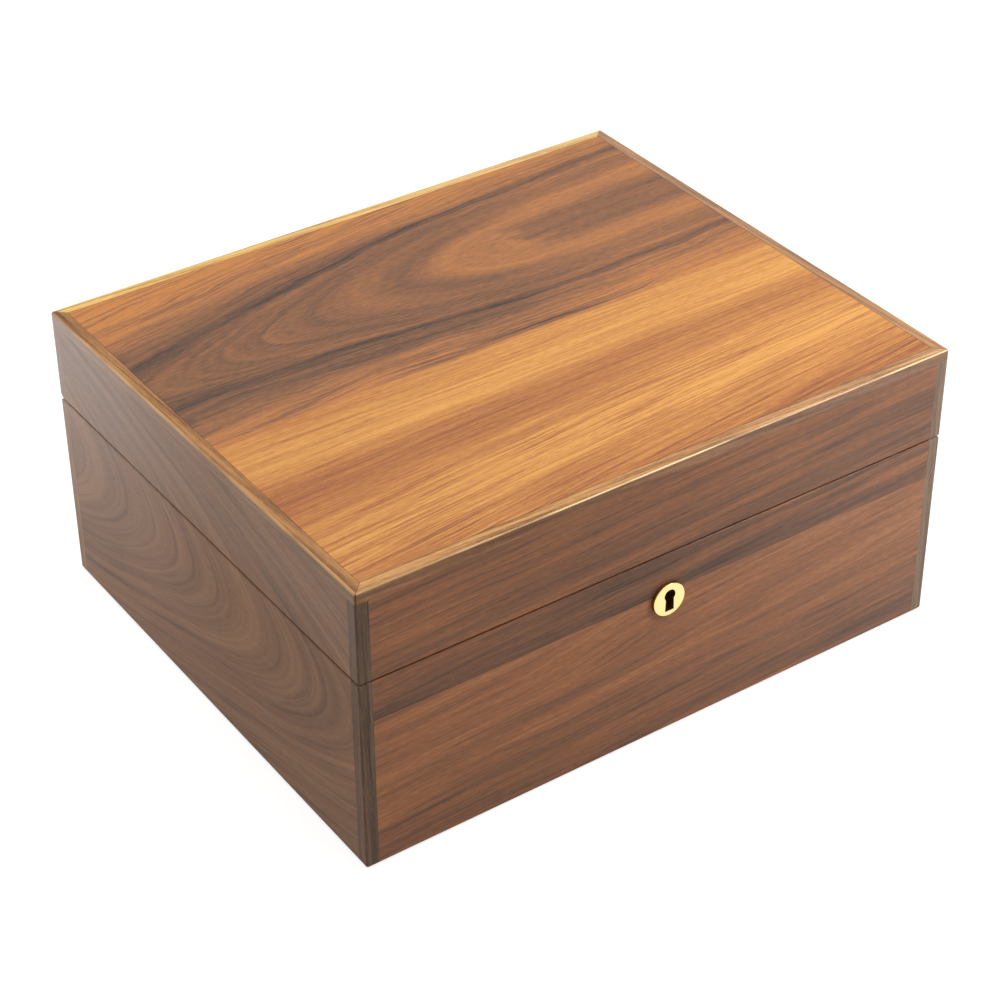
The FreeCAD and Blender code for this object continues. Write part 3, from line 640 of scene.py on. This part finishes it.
def solid_grain(place, axis, seed):
    """The shade and the fibres of solid wood with its grain along one axis."""
    along = place[axis]
    side, other = (place[i] for i in range(3) if i != axis)
    across = side + 0.6 * other
    slant = across + 0.03 * along
    bands = grain_noise(along, slant, 80, 2.4, seed)
    lines = grain_noise(along, slant, 45, 0.8, seed + 4, detail=3.0)
    fibre = fibres(along, across, seed + 9)
    shade = (0.5 + 1.4 * (0.5 - bands) + 1.0 * (0.5 - lines)
             + 0.9 * (0.5 - fibre))
    return shade, fibre


def top_lipping(name, axis, above, outside, arris_highlight, seed):
    """A lipping round the top, with one palette above and one outside."""
    wood = new_material(name)
    place = millimetres(wood)
    shade, fibre = solid_grain(place, axis, seed)
    along = place[axis]
    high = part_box("lid_edge_back")[1] / MM
    to_end = high.x - abs(place[0])
    to_front = high.y - abs(place[1])
    to_face = to_front if axis == 0 else to_end
    drop = high.z - place[2]
    outer = smooth(drop - to_face, 0.0, 0.3)
    colour = mix(outer, ramp(shade, *above), ramp(shade, *outside))
    # Painted highlight: the arris is painted pale in patches, and the same share thickens
    # its coat.
    arris = 1 - smooth(drop + to_face, *ARRIS_WIDTH)
    highlight_patches = smooth(grain_noise(along, shade, 45, 9, seed), 0.4, 0.6)
    highlight_polish = LEAST_HIGHLIGHT_POLISH + MORE_HIGHLIGHT_POLISH * highlight_patches
    colour = mix(highlight_polish * arris, colour, arris_highlight)
    mitre = 1 - smooth(abs(to_end - to_front), *MITRE_WIDTH)
    colour = mix(MITRE_SHARE * mitre, colour, UMBER)
    polish = wood.math("MAXIMUM", highlight_polish * arris, smooth(place[0], -60, 120))
    coat = DULLED_COAT + POLISHED_COAT * polish
    if axis == 1:
        coat = coat + outer * (side_coat(place[1], place[2]) - coat)
    lacquer(wood, colour, fibre, coat)


top_lipping("walnut_lip_front", 0, FRONT_ABOVE, FRONT_FACE, BRIGHT_ARRIS_HIGHLIGHT, 3.3)
top_lipping("walnut_lip_back", 0, BACK_ABOVE, FRONT_FACE, BRIGHT_ARRIS_HIGHLIGHT, 7.1)
top_lipping("walnut_lip_side", 1, SIDE_ABOVE, SIDE_FACE, GOLDEN_ARRIS_HIGHLIGHT, 11.9)
paint("walnut_lip_front", "lid_edge_front")
paint("walnut_lip_back", "lid_edge_back")
paint("walnut_lip_side", "lid_edge_left", "lid_edge_right")
print("top lippings", [name for name in nodes if name.startswith("lid_edge_")])

# %% [markdown]
# ## The corners
#
# Upright strips of solid walnut cover the corners of base and lid. The ones at
# the front left are darker wood, painted darker still with painted shade, and
# the others are painted paler with a painted haze of reflection.
# Each shows two faces, cut from the log in two directions, so it has one
# palette to the front or the back and one to its side.

# %% The corner lippings
SHADED_DARK_END = palette((132, 106, 84), (104, 83, 67), (74, 59, 49))
SHADED_DARK_SIDE = palette((130, 96, 70), (108, 79, 58), (84, 62, 47))
HAZED_PALE_END = palette((172, 143, 118), (147, 121, 100), (116, 93, 76))


def corner_lipping(name, on_ends, on_sides, seed):
    """A corner: one palette to the front or back, one to the left or right."""
    wood = new_material(name)
    x, y, z = place = millimetres(wood)
    shade, fibre = solid_grain(place, 2, seed)
    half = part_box("base_corner_front_right")
    to_side = half[1].x / MM - abs(x)
    to_end = -half[0].y / MM - abs(y)
    beside = smooth(to_end - to_side, 0.0, 0.4)
    colour = mix(beside, ramp(shade, *on_ends), ramp(shade, *on_sides))
    coat = front_coat(x)
    lacquer(wood, colour, fibre, coat + beside * (side_coat(y, z) - coat))


# Painted shade on the front left corners, painted haze of reflection on the others.
corner_lipping("walnut_corner", SHADED_DARK_END, SHADED_DARK_SIDE, 17.4)
corner_lipping("walnut_pale_corner", HAZED_PALE_END, SIDE_FACE, 23.8)
corners = [name for name in nodes if "_corner_" in name]
for name in corners:
    dark = "front_left" in name
    paint("walnut_corner" if dark else "walnut_pale_corner", name)
print("corners", len(corners))

# %% [markdown]
# ## Board under the base
#
# The bottom board is plain fibreboard with a thin sealing coat. It has no
# grain, only a speckle of short fibres, which fine noise gives.

# %% The bottom board
board = new_material("sealed_board")
speckle = cloud(board, 1.2, 4.0)
patches = cloud(board, 30)
board_colour = ramp(speckle, (0.3, tone(128, 98, 70)),
                    (0.7, tone(170, 136, 100)))
board_colour = mix(0.3 * smooth(patches, 0.4, 0.7), board_colour,
                   tone(120, 92, 66))
board_bump = board.node("Bump", {}, {"Strength": 0.2, "Distance": 0.0002,
                                     "Height": speckle})
board.node("OutputMaterial", {}, {"Surface": board.node("BsdfPrincipled", {}, {
    "Base Color": board_colour, "Roughness": 0.62 + 0.1 * speckle,
    "Normal": board_bump})})
paint("sealed_board", "base_bottom_panel")
print("board", len(board.tree.nodes), "nodes")

# %% [markdown]
# ## Brass and steel
#
# The escutcheon is turned and polished, so it mirrors the white room. The
# hinges and the lock are stamped brass with a brushed face, and the pins and
# the spring are drawn steel. Metal has no colour of its own below the
# surface: what shows is the reflection, so the wear is in the roughness.

# %% Metals
POLISHED, TARNISHED_SPECK = (0.95, 0.73, 0.33, 1), (0.87, 0.60, 0.23, 1)
# Painted shade: the dark colour of the escutcheon's rim and keyhole bore.
RIM_SHADE_PAINT = (0.32, 0.16, 0.035, 1)


def metal(name, colour, tarnish, roughness, brush, relief):
    """A metal brushed along X in lines that wide, with tarnish in patches."""
    tree = new_material(name)
    x, y, z = millimetres(tree)
    scratches = grain_noise(x, y + 0.7 * z, 25, brush, 3.7, detail=3.0)
    patches = smooth(cloud(tree, 9.0), 0.45, 0.75)
    bump = tree.node("Bump", {}, {"Strength": relief, "Distance": 0.0001,
                                  "Height": scratches})
    tree.node("OutputMaterial", {}, {"Surface": tree.node(
        "BsdfPrincipled", {}, {
            "Base Color": mix(0.5 * patches, colour, tarnish),
            "Metallic": 1.0, "Normal": bump,
            "Roughness": roughness + 0.12 * scratches + 0.08 * patches})})


def turned_gold():
    """The escutcheon: a polished face, and a rim and hole that are rougher and painted
    dark as painted shade.
    """
    tree = new_material("polished_gold")
    depth = millimetres(tree)[1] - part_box("escutcheon")[0].y / MM
    behind = smooth(depth, 0.4, 0.6)
    speckle = cloud(tree, 0.6, 3.0)
    face = mix(0.5 * smooth(speckle, 0.45, 0.7), POLISHED, TARNISHED_SPECK)
    tree.node("OutputMaterial", {}, {"Surface": tree.node(
        "BsdfPrincipled", {}, {
            # Painted shade: behind the face, the rim and the bore are painted dark.
            "Base Color": mix(behind, face, RIM_SHADE_PAINT),
            "Metallic": 1.0,
            "Roughness": 0.12 + 0.06 * speckle + 0.25 * behind})})


turned_gold()
# Painted shade: the key post's steel is near black, so it reads as the shade inside the
# keyhole.
metal("blued_steel", (0.11, 0.10, 0.10, 1), (0.07, 0.06, 0.06, 1),
      roughness=0.35, brush=0.2, relief=0.15)
metal("satin_brass", (0.80, 0.60, 0.28, 1), (0.62, 0.44, 0.20, 1),
      roughness=0.26, brush=0.25, relief=0.2)
metal("turned_brass", (0.84, 0.64, 0.32, 1), (0.62, 0.44, 0.20, 1),
      roughness=0.22, brush=0.2, relief=0.15)
metal("drawn_steel", (0.60, 0.60, 0.61, 1), (0.45, 0.44, 0.43, 1),
      roughness=0.30, brush=0.2, relief=0.15)
paint("polished_gold", "escutcheon")
paint("satin_brass", "lock_case", "lock_cover", "lock_bolt", "link_plate",
      *(name for name in nodes if name.endswith("_leaf")))
paint("blued_steel", "lock_key_post")
paint("drawn_steel", "lock_bolt_spring",
      *(name for name in nodes if name.endswith("_pin")))
print("metals", [m.name for m in bpy.data.materials
                 if m.name.endswith(("_gold", "_brass", "_steel"))])

# %% [markdown]
# ## Microfibre suede
#
# The inside is lined with a short-napped microfibre. Its nap lies in patches
# that were brushed one way or the other, so large soft clouds change the
# colour a little, a fine speckle gives the fibre, and a sheen lightens what is
# seen at a low angle. Sheen is the same all over, so it sits on the socket.

# %% Suede and felt
def suede(name, light, dark, nap_size=26.0, fibre_size=0.7, relief=0.35):
    tree = new_material(name)
    nap = cloud(tree, nap_size, 3.0)
    fibre = cloud(tree, fibre_size, 3.0)
    colour = mix(smooth(nap, 0.2, 0.8), dark, light)
    colour = mix(0.35 * (1 - smooth(fibre, 0.35, 0.6)), colour, dark)
    bump = tree.node("Bump", {}, {"Strength": relief, "Distance": 0.0003,
                                  "Height": fibre})
    tree.node("OutputMaterial", {}, {"Surface": tree.node(
        "BsdfPrincipled", {}, {
            "Base Color": colour, "Roughness": 0.82 + 0.1 * fibre,
            "Normal": bump, "Sheen Weight": 0.35, "Sheen Roughness": 0.4,
            "Specular IOR Level": 0.25})})


suede("lining_suede", tone(184, 168, 148), tone(164, 148, 128))
suede("tray_suede", tone(180, 163, 142), tone(160, 143, 122))
suede("cushion_suede", tone(198, 183, 162), tone(178, 162, 140), nap_size=16.0)
suede("lid_suede", tone(190, 174, 153), tone(170, 154, 133), nap_size=34.0)
suede("pressed_felt", tone(66, 57, 50), tone(44, 37, 33), nap_size=12.0,
      fibre_size=1.6, relief=0.8)
paint("lining_suede", "tray_ledges",
      *(name for name in nodes if "_lining_" in name))
paint("tray_suede", *(name for name in nodes
                      if name.startswith("tray_") and name != "tray_ledges"))
print("suedes", [m.name for m in bpy.data.materials if "suede" in m.name])

# %% [markdown]
# ## A finished piece
#
# Each new piece ends in the same way: its doubles are merged, its faces turned
# outwards, its edges shaded smooth, and it rides on the body that carries it.

# %% Finishing a piece
def finish_piece(name, mesh, material, body):
    bmesh.ops.remove_doubles(mesh, verts=mesh.verts, dist=1e-7)
    bmesh.ops.recalc_face_normals(mesh, faces=mesh.faces)
    for face in mesh.faces:
        face.smooth = True
    data = bpy.data.meshes.new(name)
    mesh.to_mesh(data)
    mesh.free()
    data.materials.append(bpy.data.materials[material])
    piece = bpy.data.objects.new(name, data)
    bpy.context.collection.objects.link(piece)
    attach(piece, body)
    return piece


print("pieces are in", bpy.context.collection.name)

# %% [markdown]
# ## A watch cushion
#
# A watch cushion is a small bag of suede stuffed with fibre: a strip goes
# round it and two end panels close it. It could be a rounded box, but the
# crown and the drawn-in sides of a stuffed bag come from pressure inside a
# cloth that doesn't stretch. So a softened box is filled by the cloth
# simulation, with a cap on how far each point may go, and it is pressed flat
# where it sits. One cushion is simulated and copied, because all are alike.

# %% Stuffing one cushion
COLUMNS, ROWS = 5, 3
DIVIDER_THICKNESS = 2.8 * MM
CUSHION_CUTS = 15
START_SHARE = Vector((0.91, 0.96, 0.93))
SOFTNESS = 5.0
CUSHION_PRESSURE = 300.0
CUSHION_FRAMES = 20
CUSHION_CAP = 4.0 * MM
CUSHION_SETTLING = 1.2 * MM

row_low, row_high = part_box("watch_cushions_row_1")
last_low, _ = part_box("watch_cushions_row_3")
divider_low, divider_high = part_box("tray_cross_dividers")
column_pitch = ((divider_high.x - divider_low.x - DIVIDER_THICKNESS)
                / (COLUMNS - 2))
row_pitch = (last_low.y - row_low.y) / (ROWS - 1)
cushion = Vector((row_high.x - row_low.x - column_pitch * (COLUMNS - 1),
                  row_high.y - row_low.y, row_high.z - row_low.z))


def softened_box():
    """A box round the origin whose edges and corners are swept round."""
    mesh = bmesh.new()
    bmesh.ops.create_cube(mesh, size=2.0)
    bmesh.ops.subdivide_edges(mesh, edges=mesh.edges, cuts=CUSHION_CUTS,
                              use_grid_fill=True)
    ends = [vert.index for vert in mesh.verts
            if max(abs(vert.co.x), abs(vert.co.z)) > 0.999
            and abs(vert.co.y) > 0.999]
    for vert in mesh.verts:
        largest = max(abs(value) for value in vert.co)
        total = sum(abs(value) ** SOFTNESS for value in vert.co)
        vert.co *= largest / total ** (1 / SOFTNESS)
        for axis in range(3):
            vert.co[axis] *= cushion[axis] / 2 * START_SHARE[axis]
    return mesh, ends


def stuffed(mesh):
    """The same mesh after pressure has filled it."""
    data = bpy.data.meshes.new("stuffing")
    mesh.to_mesh(data)
    bag = bpy.data.objects.new("stuffing", data)
    bpy.context.collection.objects.link(bag)
    cloth = bag.modifiers.new("cloth", "CLOTH")
    cloth.settings.quality = 6
    cloth.settings.mass = 0.2
    cloth.settings.tension_stiffness = 12
    cloth.settings.compression_stiffness = 12
    cloth.settings.bending_stiffness = 0.2
    cloth.settings.use_pressure = True
    cloth.settings.uniform_pressure_force = CUSHION_PRESSURE
    cloth.settings.effector_weights.gravity = 0
    cloth.point_cache.frame_end = CUSHION_FRAMES
    for step in range(1, CUSHION_FRAMES + 1):
        bpy.context.scene.frame_set(step)
    view = bpy.context.evaluated_depsgraph_get()
    filled = [vert.co.copy() for vert in bag.evaluated_get(view).data.vertices]
    bpy.context.scene.frame_set(1)
    bpy.data.objects.remove(bag)
    bpy.data.meshes.remove(data)
    return filled


def press_in(mesh):
    """Keeps every point within the cushion's own place in the tray."""
    for vert in mesh.verts:
        for axis in range(3):
            half = cushion[axis] / 2
            vert.co[axis] = max(-half, min(half, vert.co[axis]))


cushion_mesh, seam_points = softened_box()
largest_move = 0.0
for vert, place in zip(cushion_mesh.verts, stuffed(cushion_mesh)):
    move = place - vert.co
    move *= min(1.0, CUSHION_CAP / max(move.length, 1e-9))
    largest_move = max(largest_move, move.length)
    vert.co += move
print("stuffing moved points by up to", round(largest_move / MM, 2), "mm")
bmesh.ops.translate(cushion_mesh, verts=cushion_mesh.verts,
                    vec=(0, 0, -CUSHION_SETTLING))
press_in(cushion_mesh)
print("cushion", [round(value / MM, 1) for value in cushion],
      len(cushion_mesh.verts), "points")

# %% [markdown]
# ## The cushions' seams
#
# Where the strip meets an end panel the edges are turned in and sewn, which
# leaves a narrow raised welt. The points on the end edges of the softened box
# are marked before it is stuffed, and afterwards a thin round cord runs
# through them. Walking round each ring in order gives the cord its line.

# %% Seams and copies
WELT_RADIUS = 0.55 * MM
WELT_SIDES = 6
WELT_SHARE, BAG_SHARE = 0.985, 0.995


def seam_ring(points):
    """The marked points of one end in order round the cushion."""
    middle = sum((vert.co for vert in points), Vector()) / len(points)
    return sorted(points, key=lambda vert: math.atan2(
        vert.co.z - middle.z, vert.co.x - middle.x))


def add_welt(mesh, line):
    """A closed round cord through a ring of places."""
    middle = sum(line, Vector()) / len(line)
    rounds = []
    for index, place in enumerate(line):
        ahead = (line[(index + 1) % len(line)] - line[index - 1]).normalized()
        out = (place - middle).normalized()
        side = ahead.cross(out).normalized()
        out = side.cross(ahead)
        turn = bmesh.ops.create_circle(mesh, segments=WELT_SIDES,
                                       radius=WELT_RADIUS)["verts"]
        for vert in turn:
            vert.co = place + out * vert.co.x + side * vert.co.y
        rounds.append({edge for vert in turn for edge in vert.link_edges})
    for index, edges in enumerate(rounds):
        bmesh.ops.bridge_loops(mesh, edges=list(edges | rounds[index - 1]))


cushion_mesh.verts.ensure_lookup_table()
marked = [cushion_mesh.verts[index] for index in seam_points]
rings = [[vert.co.copy() for vert in seam_ring(end)]
         for end in ([v for v in marked if v.co.y < 0],
                     [v for v in marked if v.co.y > 0])]
bmesh.ops.scale(cushion_mesh, verts=cushion_mesh.verts,
                vec=Vector((BAG_SHARE, BAG_SHARE, 1.0)))
bmesh.ops.subdivide_edges(cushion_mesh, edges=cushion_mesh.edges, cuts=1,
                          use_grid_fill=True, smooth=0.6)
press_in(cushion_mesh)
for row in range(ROWS):
    for column in range(COLUMNS):
        copy = cushion_mesh.copy()
        for ring in rings:
            add_welt(copy, [place * WELT_SHARE for place in ring])
        middle = Vector(((column - (COLUMNS - 1) / 2) * column_pitch,
                         (row - (ROWS - 1) / 2) * row_pitch,
                         (row_low.z + row_high.z) / 2))
        bmesh.ops.translate(copy, verts=copy.verts, vec=middle)
        name = "watch_cushion_%d_%d" % (row + 1, column + 1)
        piece = finish_piece(name, copy, "cushion_suede", "tray")
        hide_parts("watch_cushions_row_%d" % (row + 1))
cushion_mesh.free()
print("cushions", ROWS * COLUMNS, "of", len(piece.data.polygons), "faces")

# %% [markdown]
# ## The padded lid lining
#
# A card covered with thin foam and suede is pressed into the lid. Its edge is
# wrapped over, so it is low at the rim, rises to a soft crown within a
# finger's width, and dips where a line of stitching holds the suede to the
# card. A fine grid takes this profile: its height is set by the distance to
# the nearest edge.

# %% The lid pad
PAD_SWELL = 12.0 * MM
PAD_STITCH = 16.0 * MM
PAD_DIP, PAD_DIP_WIDTH = 0.9 * MM, 1.6 * MM
PAD_STEP = 2.0 * MM
PAD_RIM_SHARE = 0.35

pad_low, pad_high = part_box("lid_pad")
pad_size = pad_high - pad_low
pad_mesh = bmesh.new()
bmesh.ops.create_grid(pad_mesh, x_segments=round(pad_size.x / PAD_STEP),
                      y_segments=round(pad_size.y / PAD_STEP), size=0.5)
bmesh.ops.scale(pad_mesh, verts=pad_mesh.verts,
                vec=Vector((pad_size.x, pad_size.y, 1)))
rim = [edge for edge in pad_mesh.edges if edge.is_boundary]
for vert in pad_mesh.verts:
    inside = min(pad_size.x / 2 - abs(vert.co.x),
                 pad_size.y / 2 - abs(vert.co.y))
    swell = math.sqrt(max(0.0, 1 - (1 - min(1.0, inside / PAD_SWELL)) ** 2))
    share = PAD_RIM_SHARE + (1 - PAD_RIM_SHARE) * swell
    dip = PAD_DIP * math.exp(-((inside - PAD_STITCH) / PAD_DIP_WIDTH) ** 2)
    vert.co.z = pad_high.z - pad_size.z * share + dip
wall = bmesh.ops.extrude_edge_only(pad_mesh, edges=rim)["geom"]
for vert in (part for part in wall if isinstance(part, bmesh.types.BMVert)):
    vert.co.z = pad_high.z
bmesh.ops.contextual_create(pad_mesh, geom=[
    part for part in wall if isinstance(part, bmesh.types.BMEdge)])
lid_pad = finish_piece("lid_pad_cover", pad_mesh, "lid_suede", "lid")
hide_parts("lid_pad")
print("lid pad", [round(value / MM, 1) for value in pad_size])

# %% [markdown]
# ## The felt underneath
#
# A sheet of pressed felt keeps the box from scratching the table. It is cut a
# little smaller than the base and glued on. A flat slab with softly bevelled
# edges is enough, since its fibres are in the material.

# %% The felt
FELT_CORNER, FELT_EDGE = 3 * MM, 0.25 * MM

felt_low, felt_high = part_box("base_felt")
felt_size = felt_high - felt_low
felt_mesh = bmesh.new()
bmesh.ops.create_cube(felt_mesh, size=1.0)
bmesh.ops.scale(felt_mesh, verts=felt_mesh.verts, vec=felt_size)
bmesh.ops.translate(felt_mesh, verts=felt_mesh.verts,
                    vec=(felt_low + felt_high) / 2)
upright = [edge for edge in felt_mesh.edges
           if abs(edge.verts[0].co.z - edge.verts[1].co.z) > 0.5 * felt_size.z]
bmesh.ops.bevel(felt_mesh, geom=upright, offset=FELT_CORNER, segments=4,
                profile=0.5, material=-1, affect="EDGES")
around = [edge for edge in felt_mesh.edges
          if abs(edge.verts[0].co.z - edge.verts[1].co.z) < 1e-6]
bmesh.ops.bevel(felt_mesh, geom=around, offset=FELT_EDGE, segments=2,
                profile=0.5, material=-1, affect="EDGES")
felt = finish_piece("felt_sheet", felt_mesh, "pressed_felt", "base")
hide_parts("base_felt")
print("felt", [round(value / MM, 1) for value in felt_size])

# %% [markdown]
# ## The screws
#
# Small countersunk brass screws hold the hinges, the lock and the link plate.
# Their heads show when the lid is open, so each gets its slot. The body is a
# profile spun round the axis. The slot is cut by bisecting the flat of the
# head on both sides of the slot and pushing the strip between down.

# %% The screws
SCREW_PROFILE = ((0, 0), (1.7, 0), (1.88, -0.12), (1.0, -1.5), (0.95, -8.4),
                 (0, -9.9))
SLOT_HALF = 0.28
SLOT_DEPTH = 0.55
SPIN_STEPS = 24
FIRST_TURN, NEXT_TURN = 0.5, 1.1
HEAD_RADIUS = 1.9 * MM
HINGE_SCREW_SPACING = 22 * MM


def slotted_screw(place, points_down, turn):
    """One screw with its head at a place."""
    mesh = bmesh.new()
    line = [mesh.verts.new((radius * MM, 0, height * MM))
            for radius, height in SCREW_PROFILE]
    edges = [mesh.edges.new(pair) for pair in zip(line, line[1:])]
    bmesh.ops.spin(mesh, geom=line + edges, cent=(0, 0, 0), axis=(0, 0, 1),
                   angle=math.tau, steps=SPIN_STEPS, use_merge=True)
    bmesh.ops.remove_doubles(mesh, verts=mesh.verts, dist=1e-7)
    for side in (-1, 1):
        bmesh.ops.bisect_plane(
            mesh, geom=mesh.verts[:] + mesh.edges[:] + mesh.faces[:],
            plane_co=(0, side * SLOT_HALF * MM, 0), plane_no=(0, 1, 0))
    strip = [face for face in mesh.faces
             if face.calc_center_median().z > -0.05 * MM
             and abs(face.calc_center_median().y) < SLOT_HALF * MM]
    slot = bmesh.ops.extrude_face_region(mesh, geom=strip)["geom"]
    bmesh.ops.translate(mesh, vec=(0, 0, -SLOT_DEPTH * MM), verts=[
        part for part in slot if isinstance(part, bmesh.types.BMVert)])
    bmesh.ops.delete(mesh, geom=strip, context="FACES_ONLY")
    bmesh.ops.rotate(mesh, verts=mesh.verts, cent=(0, 0, 0),
                     matrix=Matrix.Rotation(turn, 3, "Z"))
    if not points_down:
        bmesh.ops.rotate(mesh, verts=mesh.verts, cent=(0, 0, 0),
                         matrix=Matrix.Rotation(math.pi, 3, "X"))
    bmesh.ops.translate(mesh, verts=mesh.verts, vec=place)
    return mesh


def screw_set(node, body, columns, points_down):
    """The screws of one CAD node, at the given distances along X."""
    low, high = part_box(node)
    whole = bpy.data.meshes.new("screws")
    together = bmesh.new()
    for index, column in enumerate(columns):
        place = Vector((column, (low.y + high.y) / 2,
                        high.z if points_down else low.z))
        turn = FIRST_TURN + NEXT_TURN * index
        one = slotted_screw(place, points_down, turn)
        one.to_mesh(whole)
        one.free()
        together.from_mesh(whole)
    bpy.data.meshes.remove(whole)
    piece = finish_piece(node.replace("_screws", "_slotted_screws"), together,
                         "turned_brass", body)
    for face in piece.data.polygons:
        face.use_smooth = False
    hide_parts(node)


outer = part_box("hinge_base_screws")[1].x - HEAD_RADIUS
inner = outer - HINGE_SCREW_SPACING
lock_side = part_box("lock_screws")[1].x - HEAD_RADIUS
screw_set("hinge_base_screws", "base", (-outer, -inner, inner, outer), True)
screw_set("hinge_lid_screws", "lid", (-outer, -inner, inner, outer), False)
screw_set("lock_screws", "base", (-lock_side, lock_side), True)
screw_set("link_plate_screws", "lid", (-lock_side, lock_side), False)
print("screws at", [round(column / MM, 1)
                    for column in (inner, outer, lock_side)])

# %% [markdown]
# ## The end
#
# The dressed box must stay in the CAD model's box.

# %% The end
print("done")
